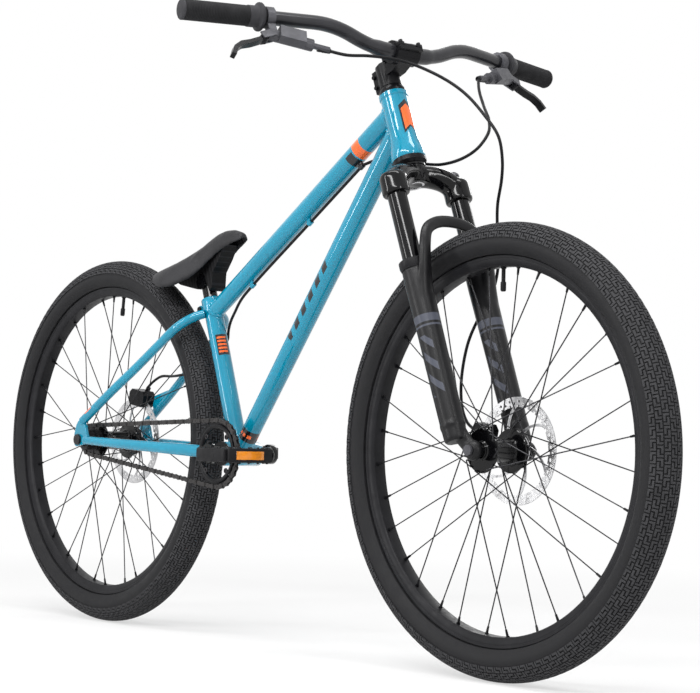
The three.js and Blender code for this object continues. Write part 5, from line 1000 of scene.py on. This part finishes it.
def make_rotor(word, axle, body, outer_y):
    """A vented brake disc: a drilled band on six swept arms."""
    work = bmesh.new()
    cells, rings = 96, [65.0, 68.0, 71.6, 75.0, 80.0]
    corners = [work.verts.new((radius * MM, 0, -ROTOR_THICKNESS * MM)) for radius in rings]
    edges = [work.edges.new(pair) for pair in zip(corners, corners[1:])]
    spun_round(work, corners + edges, cells)
    bmesh.ops.remove_doubles(work, verts=work.verts, dist=MERGE)
    vents = []
    for face in work.faces:
        middle = face.calc_center_median()
        ring = sum(math.hypot(middle.x, middle.y) / MM > radius for radius in rings) - 1
        cell = int((math.atan2(middle.y, middle.x) / FULL_TURN + 1) * cells) % 4
        if (ring, cell) in ((0, 0), (1, 2), (2, 0)):
            vents.append(face)
    bmesh.ops.delete(work, geom=vents, context="FACES")
    made = bmesh.ops.extrude_face_region(work, geom=work.faces[:], use_keep_orig=True)["geom"]
    outer_face = [item for item in made if isinstance(item, bmesh.types.BMVert)]
    bmesh.ops.translate(work, vec=(0, 0, ROTOR_THICKNESS * MM), verts=outer_face)
    for arm in range(6):
        start = FULL_TURN * (arm + 0.8) / 6
        outline_in, outline_out = [], []
        for step in range(7):
            share = step / 6
            radius = 24 + (66.5 - 24) * share
            angle = start + math.radians(38) * share
            half = (3.4 - 1.2 * math.sin(share * math.pi)) / radius
            outline_in.append([radius * math.cos(angle - half), radius * math.sin(angle - half)])
            outline_out.append([radius * math.cos(angle + half), radius * math.sin(angle + half)])
        plate(work, outline_in + outline_out[::-1], 1.7, Matrix.Translation((0, 0, -0.9 * MM)))
    turned(
        work, [[-ROTOR_THICKNESS, 13.5], [-ROTOR_THICKNESS, 26], [0, 26], [0, 13.5]], 48, Matrix(),
        closed=True
    )
    bmesh.ops.transform(work, matrix=side_place(axle + spot(0, outer_y, 0)), verts=work.verts)
    finished(work, word + "_rotor_drilled", body, rotor_steel(word, axle), [word + "_rotor"])


def rotor_steel(word, axle):
    """Ground stainless steel, with fine rings from the pads."""
    finish = Finish(word + "_rotor_ground_steel")
    reach = finish.from_axle(axle)
    worn = band(finish, reach, 0.064, 0.0795)
    grinding = finish.math("PINGPONG", reach, 0.0004) * 900
    tone = finish.blend(worn, colour(0.5, 0.5, 0.51), colour(0.66, 0.66, 0.67))
    roughness = 0.3 + finish.noise(240.0, 4.0) * 0.2 - worn * 0.1
    normal = finish.bump(grinding + finish.noise(700.0, 2.0), 0.12, 0.0003)
    return finish.surface(tone, roughness, normal, 1.0)


def make_valve(word, axle, body, angle):
    """The valve stem and its cap, pointing from the rim to the axle."""
    way = Vector((math.cos(angle), 0, math.sin(angle)))
    work = bmesh.new()
    foot = axle + way * VALVE_FOOT * MM
    rows = [
        [-1, 0], [-1, 4.4], [2, 4.4], [3, 3.0], [22, 3.0], [22, 3.9], [23, 4.2], [34, 4.2], [35.6, 3.4],
        [36, 2.2], [36, 0],
    ]
    turned(work, rows, 16, aimed_at(foot, -way))
    finished(work, word + "_valve_and_cap", body, moulded_black)


WHEELS = [
    (
        "front", front_axle, "front_wheel", 49.7, (-36.5, 21.5), FRONT_HUB_HALF - ROTOR_INSET,
        math.radians(90), 13
    ),
    ("rear", rear_axle, "rear_wheel", 67.2, (-28.5, 35.5), HUB_HALF - ROTOR_INSET, math.radians(84), 10.2),
]
for word, axle, body, half, flanges, rotor_y, valve_angle, driver in WHEELS:
    make_tyre(word, axle, body)
    make_rim(word, axle, body)
    make_spokes(word, axle, body, flanges, valve_angle)
    make_hub(word, axle, body, half, flanges, rotor_y, driver)
    make_rotor(word, axle, body, rotor_y)
    make_valve(word, axle, body, valve_angle)

# ---------------------------------------------------------------- fork

LEG_AHEAD = 21.3
LEG_ACROSS = 65.0


def decal_stripes(finish, painted):
    """Plain grey bars down the outside of the fork legs."""
    rise = finish.along(head_top, steering_up)
    ahead = finish.along(head_top + steering_ahead * LEG_AHEAD * MM, steering_ahead)
    slant = rise + ahead * 1.2
    wide = band(finish, rise, -0.405, -0.393) * (ahead > -0.012)
    thin = band(finish, rise, -0.412, -0.409) * (ahead > -0.012)
    stripes = finish.math("PINGPONG", slant, 0.017) > 0.0105
    bars = stripes * band(finish, rise, -0.52, -0.425) * band(finish, ahead, -0.004, 0.014)
    marks = finish.math("MINIMUM", wide + thin + bars, 1.0)
    return finish.blend(marks, painted, DECAL_GREY)


def both_halves(half):
    """Places on the steering from the right half of a route and its mirror."""
    mirror = [(ahead, -across, rise) for ahead, across, rise in reversed(half)]
    return [on_steering(*place) for place in half + mirror]


def crown_section(share):
    outwards = abs(2 * share - 1)
    return [15 + 2.5 * outwards, 20 - 1.5 * outwards]


def arch_section(share):
    outwards = abs(2 * share - 1)
    return [9.5 + 7.5 * outwards ** 3, 6.6 + 6 * outwards ** 5]


def make_fork_upper():
    work = bmesh.new()
    turned(
        work, [[-129, 0], [-129, 20.5], [-131, 22.5], [-137, 22], [-157.5, 20.5], [-159, 19], [-159, 0]], 40,
        steering
    )
    half_route = [(21.3, -66, -174), (21, -60, -167), (17, -47, -155), (9, -26, -146.5), (3, -9, -144.5)]
    route = smooth_route(both_halves(half_route), 36)
    swept(work, stations_along(route, crown_section, steering_up), 28)
    for side in (-1, 1):
        rows = [
            [-156, 0], [-156, 14], [-157, 17.5], [-160, 20.3], [-165, 21.4], [-189, 21.6], [-192, 20.6],
            [-192, 0],
        ]
        turned(work, rows, 40, leg_place(side))
    cast(work, "fork_crown_forged", "steering", gloss_black, ["fork_upper"], voxel=1.3, passes=10)
    work = bmesh.new()
    turned(
        work, [[30, 0], [30, 14.2], [-127, 14.2], [-127, 22], [-128, 23], [-131, 23.2], [-131, 0]], 40,
        steering
    )
    for side in (-1, 1):
        turned(work, [[-170, 0], [-170, 15], [-454, 15], [-455, 14], [-455, 0]], 48, leg_place(side))
    finished(work, "fork_steerer_and_stanchions", "steering", gloss_black)
    work = bmesh.new()
    turned(
        work, [[-156, 9.5], [-156, 14.5], [-160, 14.5], [-160, 11.5], [-158, 9.5]], 32, steering, closed=True
    )
    finished(work, "steerer_foot_ring", "steering", bolt_steel)


def leg_place(side):
    """A placing on the axis of one fork leg."""
    return steering @ Matrix.Translation(spot(LEG_AHEAD, side * LEG_ACROSS, 0))


def lowers_finish():
    """Matt black casting with the legs' plain grey bars."""
    finish = Finish("cast_matt_black_legs")
    mottle = finish.ramp(finish.noise(38.0, 4.0, 0.6), 0.3, 0.75)
    plain = finish.blend(mottle, colour(0.0035, 0.0035, 0.0042), colour(0.006, 0.006, 0.007))
    roughness = 0.32 + finish.noise(90.0, 4.0) * 0.12
    normal = finish.bump(finish.noise(700.0, 3.0), 0.08, 0.0005)
    return finish.surface(decal_stripes(finish, plain), roughness, normal, specular_ior_level=0.25)


def make_fork_lowers():
    legs = lowers_finish()
    work = bmesh.new()
    for side in (-1, 1):
        rows = [
            [-316, 0], [-316, 20.3], [-340, 20.4], [-430, 19.4], [-560, 18.5], [-562, 19.2], [-567, 19.2],
            [-568, 18.2], [-586, 17.6], [-589, 15.8], [-589, 0],
        ]
        turned(work, rows, 40, leg_place(side))
        axle_end = spot(HALF_WHEELBASE, side * 57, AXLE_HEIGHT)
        knee = [
            on_steering(21.3, side * 64, -545), on_steering(25, side * 61, -572),
            on_steering(33, side * 57, -596), axle_end
        ]
        swept(
            work, stations_along(smooth_route(knee, 12), lambda share: [9 - 2.5 * share, 16 - 4 * share]), 24
        )
        for inner, outer, radius in ((50.2, 59, 15.2), (58, 63.2, 12.4)):
            rod(
                work, front_axle + spot(0, side * inner, 0), front_axle + spot(0, side * outer, 0), radius, 36
            )
    half_route = [
        (27, -66, -380), (36, -66, -345), (46, -65, -312), (51.5, -61, -284), (52.3, -51, -262),
        (52.3, -34, -251), (52.3, -15, -246),
    ]
    swept(work, stations_along(smooth_route(both_halves(half_route), 56), arch_section), 24)
    cast(work, "fork_lowers_cast", "sliders", legs, ["fork_lowers"], voxel=1.7, passes=4)
    work = bmesh.new()
    for side in (-1, 1):
        rows = [
            [-302, 15.3], [-302, 20.8], [-303.2, 22.3], [-312, 22.4], [-314, 21.6], [-317, 20.6],
            [-317, 15.3],
        ]
        turned(work, rows, 48, leg_place(side), closed=True)
    finished(work, "fork_dust_seals", "sliders", cast_black)


make_fork_upper()
make_fork_lowers()

# ---------------------------------------------------------------- handlebar, grips and hoses


BAR_HALF, BAR_RADIUS, BAR_BULGE = 381.5, 11.1, 1.6
BULGE_END, BULGE_FADE = 62, 12


def bar_route():
    """The bar's right tip, its bends and its left tip."""
    return both_halves([(-8, -BAR_HALF, 90.8), (41, -132, 81), (41, -62, 52)])


def bar_thickness(place):
    """The bar's radius, which swells where the stem holds it."""
    return BAR_RADIUS + BAR_BULGE * max(0.0, min(1.0, (BULGE_END - abs(place.y) / MM) / BULGE_FADE))


def make_handlebar():
    work = bmesh.new()
    corners = bar_route()
    corners[0] = corners[0].lerp(corners[1], 0.014)
    corners[-1] = corners[-1].lerp(corners[-2], 0.014)
    places = evenly(rounded_route(corners, 34, 10), 150)
    tube(work, places, bar_thickness, 28)
    finished(work, "handlebar_bent", "steering", bar_black, ["handlebar"])


def make_grips():
    for side, word in SIDES:
        tip, bend = on_steering(-8, side * BAR_HALF, 90.8), on_steering(41, side * 132, 81)
        place = aimed_at(tip, bend - tip, UP)
        rows = [[4, 11.3], [4, 15.2]]
        for rib in range(41):
            foot = 4.6 + rib * 2.5
            rows += [[foot, 14.9], [foot + 0.7, 15.6], [foot + 1.5, 15.6], [foot + 2.1, 14.9]]
        rows += [[108, 15.2], [108, 11.3]]
        work = bmesh.new()
        turned(work, rows, 40, place, closed=True)
        finished(
            work, f"grip_{word}_ribbed", "steering", grip_black, ["grip_" + word], sharp=math.radians(60)
        )
        work = bmesh.new()
        rows = [
            [108.2, 11.3], [108.2, 15.8], [109, 16.4], [121, 16.4], [123, 17], [125, 20], [126, 21.6],
            [127.5, 22], [129.5, 21.8], [131, 20.6], [131, 11.3],
        ]
        turned(work, rows, 40, place, closed=True)
        rows = [
            [-0.6, 0], [-0.6, 10.8], [0, 13.4], [1.2, 15.2], [2.6, 15.9], [3.8, 15.6], [3.8, 11.4],
            [3.2, 11.3], [3.2, 0],
        ]
        turned(work, rows, 40, place)
        finished(work, f"grip_{word}_flange_and_cap", "steering", grip_grey)


HOSE_RADIUS = 2.5
FRONT_HOSE = [
    (292, -156, 932), (303, -130, 928), (307, -90, 932), (312, -50, 933), (322, -12, 928), (356, 22, 906),
    (386, 40, 881), (417, 50, 847), (442, 58, 811), (443, 66, 777), (432, 76, 748), (414, 86, 712),
    (407, 93, 680), (408, 97, 640), (402, 95, 590), (392, 85, 556), (387, 70, 528), (382, 58, 495),
    (373, 55, 440), (377, 54, 400), (392, 50, 378), (418, 42, 365),
]
REAR_LOOP = [
    (292, 156, 932), (320, 132, 906), (361, 104, 872), (400, 78, 842), (421, 56, 817), (416, 40, 794),
    (388, 36, 781), (338, 37, 776), (292, 36, 781), (264, 34, 782), (242, 27, 785), (224, 13, 793),
]
REAR_HOSE = [
    (-128, 3, 582), (-151, 8, 563), (-169, 12, 546), (-180, 16, 531), (-190, 22, 516), (-222, 34, 505),
    (-262, 38, 493), (-302, 39, 477), (-332, 40, 460), (-362, 41, 456), (-401, 50, 455), (-440, 54, 455),
    (-470, 55, 444), (-484, 56, 436),
]


def make_hoses():
    """The three hoses; the rear brake hose rides on the frame, and the other two ride on no body."""
    guides = [guide_place(share) for share in GUIDE_SHARES]
    runs = [
        ("front_brake_hose", [spot(*place) for place in FRONT_HOSE], 150),
        ("rear_hose_loop", [spot(*place) for place in REAR_LOOP] + [guides[0] - top_tube_run * 0.004], 90),
        ("rear_brake_hose", [*guides, *[spot(*place) for place in REAR_HOSE]], 160),
    ]
    made = {}
    for name, places, count in runs:
        work = bmesh.new()
        tube(work, smooth_route(places, count), HOSE_RADIUS, 10)
        body = "frame" if name == "rear_brake_hose" else None
        made[name] = finished(work, name + "_smooth", body, hose_black, [name])
    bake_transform(made["front_brake_hose"])
    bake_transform(made["rear_hose_loop"])


def make_hose_nuts():
    """The ribbed boots where the hoses leave the brake masters."""
    for side, word in SIDES:
        port, ahead = spot(292, side * 156, 932), spot(286.5, side * 175, 934.5)
        work = bmesh.new()
        rows = [[-3, 2.7], [-3, 3.4]]
        for rib in range(5):
            foot, swell = rib * 2.6, rib * 0.22
            rows += [[foot - 2.6, 3.5 + swell], [foot - 1.8, 4.3 + swell], [foot - 0.9, 4.3 + swell]]
        rows += [[11, 4.8], [16, 5.4], [18, 5.4], [18, 2.7]]
        turned(work, rows, 20, aimed_at(port, ahead - port), closed=True)
        finished(work, f"hose_boot_{word}", "steering", moulded_black)


make_handlebar()
make_grips()
make_hoses()
make_hose_nuts()

# ---------------------------------------------------------------- chain, cranks and pedals

CHAIN_LINKS = 84
RING_RADIUS, COG_RADIUS, CHAIN_ACROSS = 56.7, 26.5, -47.0


def chain_route():
    """Places round the chainring and the cog, and along both straight runs."""
    gap_between = (bottom_bracket - rear_axle).xz
    way = math.atan2(gap_between.y, gap_between.x)
    lean = math.asin((RING_RADIUS - COG_RADIUS) * MM / gap_between.length)
    fine = []
    for centre, radius, start, end in (
        (bottom_bracket, RING_RADIUS, way + math.pi / 2 + lean, way - math.pi / 2 - lean),
        (rear_axle, COG_RADIUS, way - math.pi / 2 - lean, way - 3 * math.pi / 2 + lean),
    ):
        for step in range(33):
            angle = start + (end - start) * step / 32
            fine.append(centre + spot(radius * math.cos(angle), CHAIN_ACROSS, radius * math.sin(angle)))
    return evenly([*fine, fine[0]], CHAIN_LINKS)


def make_chain():
    work = bmesh.new()
    pins = chain_route()
    for index in range(CHAIN_LINKS):
        start, end = pins[index], pins[index + 1]
        across = 2.55 if index % 2 else 1.55
        half = (end - start).length / MM / 2
        place = aimed_at((start + end) / 2, LEFT, end - start)
        outline = [
            [half, 4.2], [half + 3, 3], [half + 4.2, 0], [half + 3, -3], [half, -4.2], [0, -2.8],
            [-half, -4.2], [-half - 3, -3], [-half - 4.2, 0], [-half - 3, 3], [-half, 4.2], [0, 2.8],
        ]
        for side in (-1, 1):
            plate(work, outline, 0.9, place @ Matrix.Translation(spot(0, 0, side * across)))
        rod(work, start - spot(0, 3.3, 0), start + spot(0, 3.3, 0), 1.8, 6)
        rod(work, start - spot(0, 1.1, 0), start + spot(0, 1.1, 0), 3.8, 8)
    finished(work, "chain_links", "frame", chain_steel, ["chain"])


def crank_section(share):
    return [5.4 + 1.2 * share, 15.5 - 7.5 * math.sin(math.pi * share * 0.62) + 2.5 * share]


def make_crank_arms():
    for side, word in SIDES:
        way = -side
        boss = bottom_bracket + spot(0, side * 63, 0)
        tip = bottom_bracket + spot(way * CRANK_LENGTH, side * 74, 0)
        places = []
        for step in range(15):
            share = step / 14
            flare = max(0.0, (share - 0.2) / 0.8)
            across = 61.5 + 12.5 * flare * flare * (3 - 2 * flare)
            places.append(bottom_bracket + spot(way * CRANK_LENGTH * share, side * across, 0))
        work = bmesh.new()
        swept(work, stations_along(places, crank_section), 28)
        rows = [
            [-7, 10.3], [-7, 16.4], [-6.2, 17], [4, 17], [5.6, 16.2], [6.4, 14.6], [6.4, 12.4], [5.4, 11.8],
            [5.4, 10.3],
        ]
        turned(work, rows, 40, side_place(boss) @ Matrix.Scale(-side, 4, UP), closed=True)
        rows = [[-7, 5.8], [-7, 12.8], [-6, 13.5], [5.8, 13.5], [7, 12.4], [7, 5.8]]
        turned(work, rows, 32, side_place(tip) @ Matrix.Scale(-side, 4, UP), closed=True)
        finished(work, f"crank_arm_{word}_forged", "cranks", gloss_black, ["crank_arm_" + word])


def make_pedals():
    for side, word in SIDES:
        centre = bottom_bracket + spot(-side * CRANK_LENGTH, side * 138, 0)
        at = Matrix.Translation(centre)
        work = bmesh.new()
        rod(work, centre - spot(0, 48.8, 0), centre + spot(0, 48.8, 0), 10.4, 28)
        for end in (-1, 1):
            block(work, [8, 84, 23], at @ Matrix.Translation(spot(end * 38.6, 0, 0)), 1.6)
            block(work, [74, 6.5, 21], at @ Matrix.Translation(spot(0, end * 45.4, 0)), 1.6)
            block(work, [76, 4, 17], at @ Matrix.Translation(spot(0, end * 15, 0)), 1.0)
            for step in range(-2, 3):
                for top in (-1, 1):
                    foot = centre + spot(end * 38.6, step * 18, top * 11)
                    rod(work, foot, foot + spot(0, 0, top * 2.4), 2.2, 8, 1.5)
            for step in (-1, 1):
                for top in (-1, 1):
                    foot = centre + spot(step * 16, end * 45.4, top * 10)
                    rod(work, foot, foot + spot(0, 0, top * 3.2), 2.2, 8, 1.5)
        finished(work, f"pedal_{word}_platform", "platform_" + word, moulded_black, ["pedal_" + word])
        work = bmesh.new()
        for end in (-1, 1):
            block(work, [2, 54, 13.5], at @ Matrix.Translation(spot(end * 42.0, 0, 0)), 0.6)
        finished(work, f"pedal_{word}_reflectors", "platform_" + word, reflector_orange)


def make_ring_guard():
    """The raised inner guard and the four bolts on the chainring."""
    work = bmesh.new()
    place = side_place(bottom_bracket + spot(0, CHAIN_ACROSS, 0)) @ Matrix.Scale(-1, 4, UP)
    rows = [[1.3, 43], [1.3, 49.5], [2.6, 50.2], [4.2, 49.6], [4.6, 48.6], [4.4, 45], [3.4, 43.6]]
    turned(work, rows, 72, place, closed=True)
    finished(work, "chainring_guard", "cranks", satin_black)
    work = bmesh.new()
    for index in range(4):
        angle = FULL_TURN * (index + 0.5) / 4
        turned_place = place @ Matrix.Translation(spot(40 * math.cos(angle), 40 * math.sin(angle), 2.0))
        bolt_head(work, turned_place, 4.6, 2.6)
    finished(work, "chainring_bolts", "cranks", dark_steel)


make_chain()
make_crank_arms()
make_pedals()
make_ring_guard()

# ---------------------------------------------------------------- saddle


def saddle_vinyl():
    finish = Finish("saddle_cover_vinyl")
    grain = finish.cells(1500.0, "DISTANCE_TO_EDGE")
    mottle = finish.noise(30.0, 3.0)
    tone = finish.blend(
        finish.ramp(mottle, 0.3, 0.7), colour(0.014, 0.014, 0.0155), colour(0.022, 0.022, 0.0245)
    )
    normal = finish.bump(finish.ramp(grain, 0.0, 0.12), 0.18, 0.0004)
    return finish.surface(tone, 0.42 + mottle * 0.14, normal, specular_ior_level=0.22)


COVER_VOXEL = 2.2
COVER_SWELL = 1.6  # the most that cloth moves the cover, in millimetres
CLOTH_FRAMES = 20


def make_saddle_cover():
    """A taut padded cover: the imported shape, remeshed, blown up a little by cloth and smoothed."""
    work = bmesh.new()
    work.from_mesh(nodes["saddle_cover"].data)
    bmesh.ops.remove_doubles(work, verts=work.verts, dist=MERGE)
    cover = finished(work, "saddle_cover_padded", None, saddle_vinyl(), sharp=math.radians(180))
    remeshed(cover, COVER_VOXEL, 5)
    start = [vert.co.copy() for vert in cover.data.vertices]
    cloth = cover.modifiers.new("cloth", "CLOTH")
    cloth.settings.use_pressure = True
    cloth.settings.uniform_pressure_force = 4
    cloth.settings.effector_weights.gravity = 0
    cloth.settings.quality = 5
    cloth.point_cache.frame_start = 1
    cloth.point_cache.frame_end = CLOTH_FRAMES
    for step in range(1, CLOTH_FRAMES + 1):
        bpy.context.scene.frame_set(step)
    apply_modifiers(cover)
    bpy.context.scene.frame_set(1)
    for vert, before in zip(cover.data.vertices, start):
        moved = vert.co - before
        if moved.length > COVER_SWELL * MM:
            vert.co = before + moved.normalized() * COVER_SWELL * MM
    settle(cover, 3)
    shaded_smooth(cover)
    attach(cover, "saddle")
    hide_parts("saddle_cover")


def ribbed_base():
    """Moulded plastic with fine ribbing under the nose and the tail, and a painted highlight along each rib's
    crest.
    """
    finish = Finish("saddle_base_ribbed")
    lean = math.radians(17)
    run = finish.along(on_seat(318), Vector((math.cos(lean), 0, math.sin(lean))))
    wave = finish.math("PINGPONG", run, 0.0042)
    # This mask picks the crest of each rib, where the bump is highest; the crests are coloured lighter as a
    # painted highlight.
    rib_crest_highlights = wave > 0.0034
    tone = finish.blend(rib_crest_highlights, colour(0.003, 0.003, 0.0035), colour(0.012, 0.012, 0.014))
    normal = finish.bump(wave * 160 + finish.noise(900.0, 2.0) * 0.2, 0.35, 0.001)
    return finish.surface(tone, 0.4 + finish.noise(80.0, 3.0) * 0.2, normal, specular_ior_level=0.15)


make_saddle_cover()
dressed("saddle_base", "saddle", ribbed_base(), 0.6)

# ---------------------------------------------------------------- everything else carried over

PLAIN_DRESSING = {
    "preload_knob": (cast_grey, 0.6),
    "front_axle": (cast_grey, 0.5),
    "front_caliper": (satin_black, 0.9),
    "rear_caliper": (satin_black, 0.9),
    "rear_axle": (dark_steel, 0.5),
    "headset_cup_upper": (satin_black, 0.5),
    "headset_cup_lower": (satin_black, 0.5),
    "headset_top_cap": (satin_black, 0.4),
    "stem": (satin_black, 1.6),
    "stem_faceplate": (satin_black, 1.2),
    "brake_master_right": (cast_grey, 2.4),
    "brake_master_left": (cast_grey, 2.4),
    "brake_lever_right": (satin_black, 1.2),
    "brake_lever_left": (satin_black, 1.2),
    "seat_clamp_bolt": (satin_black, 0.3),
    "chainring": (satin_black, 0.3),
    "crank_spindle": (silver_cap, 0.3),
    "bottom_bracket": (satin_black, 0.4),
    "pedal_axle_right": (dark_steel, 0.3),
    "pedal_axle_left": (dark_steel, 0.3),
    "rear_cog": (dark_steel, 0.2),
    "seatpost": (gloss_black, 0.5),
}
for node_name, (finish_used, rounding_width) in PLAIN_DRESSING.items():
    dressed(node_name, body_of(node_name), finish_used, rounding_width)
for node_name in ("front_inner_tube", "rear_inner_tube"):
    for material_slot in nodes[node_name].material_slots:
        material_slot.material = moulded_black

# ---------------------------------------------------------------- floor, backdrop and lights


WORLD_LIGHT = 0.26
FLOOR_SIZE = 9.0
FLOOR_DROP = 0.0005


def studio_white():
    """The studio's white sweep: it keeps the shadow near the bike and fades to plain white round it."""
    finish = Finish("studio_white")
    reach = finish.put("ShaderNodeVectorMath", {"operation": "LENGTH"}, {0: finish.place}, "Value")
    far = finish.ramp(reach, 1.1, 2.6)
    lit = finish.put("ShaderNodeBsdfDiffuse", None, {"Color": colour(0.9, 0.9, 0.9)})
    bright = finish.put("ShaderNodeEmission", None, {"Color": colour(1, 1, 1), "Strength": 1.0})
    share = finish.seen_directly() * (0.6 + far * 0.4)
    mixed = finish.put("ShaderNodeMixShader", None, {0: share, 1: lit, 2: bright})
    finish.put("ShaderNodeOutputMaterial", None, {"Surface": mixed})
    return finish.material


def make_floor():
    work = bmesh.new()
    bmesh.ops.create_grid(work, x_segments=2, y_segments=2, size=FLOOR_SIZE)
    bmesh.ops.translate(work, vec=(0, 0, -FLOOR_DROP), verts=work.verts)
    mesh = bpy.data.meshes.new("floor")
    work.to_mesh(mesh)
    work.free()
    floor = bpy.data.objects.new("floor", mesh)
    bpy.context.scene.collection.objects.link(floor)
    mesh.materials.append(studio_white())


def make_world():
    """White where it is seen, and a soft fill on the bike."""
    world = bpy.data.worlds.new("studio")
    bpy.context.scene.world = world
    studio = Nodes(world)
    white = colour(1, 1, 1)
    lit = studio.put("ShaderNodeBackground", None, {"Color": white, "Strength": WORLD_LIGHT})
    seen = studio.put("ShaderNodeBackground", None, {"Color": white, "Strength": 1.0})
    chosen = studio.put("ShaderNodeMixShader", None, {0: studio.seen_directly(), 1: lit, 2: seen})
    studio.put("ShaderNodeOutputWorld", None, {"Surface": chosen})


LIT_MIDDLE = Vector((0.1, 0, 0.5))
SOFTBOXES = [
    ("light_overhead", (0.5, -0.5, 3.0), (3.4, 0.6), 66),
    ("light_high_strip", (1.2, -2.4, 2.4), (3.2, 0.26), 66),
    ("light_camera_right", (3.4, -0.2, 1.5), (0.2, 2.4), 26),
    ("light_camera_left", (-1.4, -3.2, 1.3), (0.3, 2.6), 44),
    ("light_behind", (-1.4, 2.9, 1.9), (2.6, 0.4), 22),
]


def softbox(name, place, target, size, power):
    """A rectangular area lamp that faces a target."""
    lamp = bpy.data.lights.new(name, "AREA")
    lamp.shape = "RECTANGLE"
    lamp.size, lamp.size_y = size
    lamp.energy = power
    holder = bpy.data.objects.new(name, lamp)
    bpy.context.scene.collection.objects.link(holder)
    away = place - target
    holder.matrix_world = Matrix.Translation(place) @ away.to_track_quat("Z", "Y").to_matrix().to_4x4()


make_floor()
make_world()
for light_name, light_place, light_size, light_power in SOFTBOXES:
    softbox(light_name, Vector(light_place), LIT_MIDDLE, light_size, light_power)

bpy.context.scene.view_settings.view_transform = "Standard"
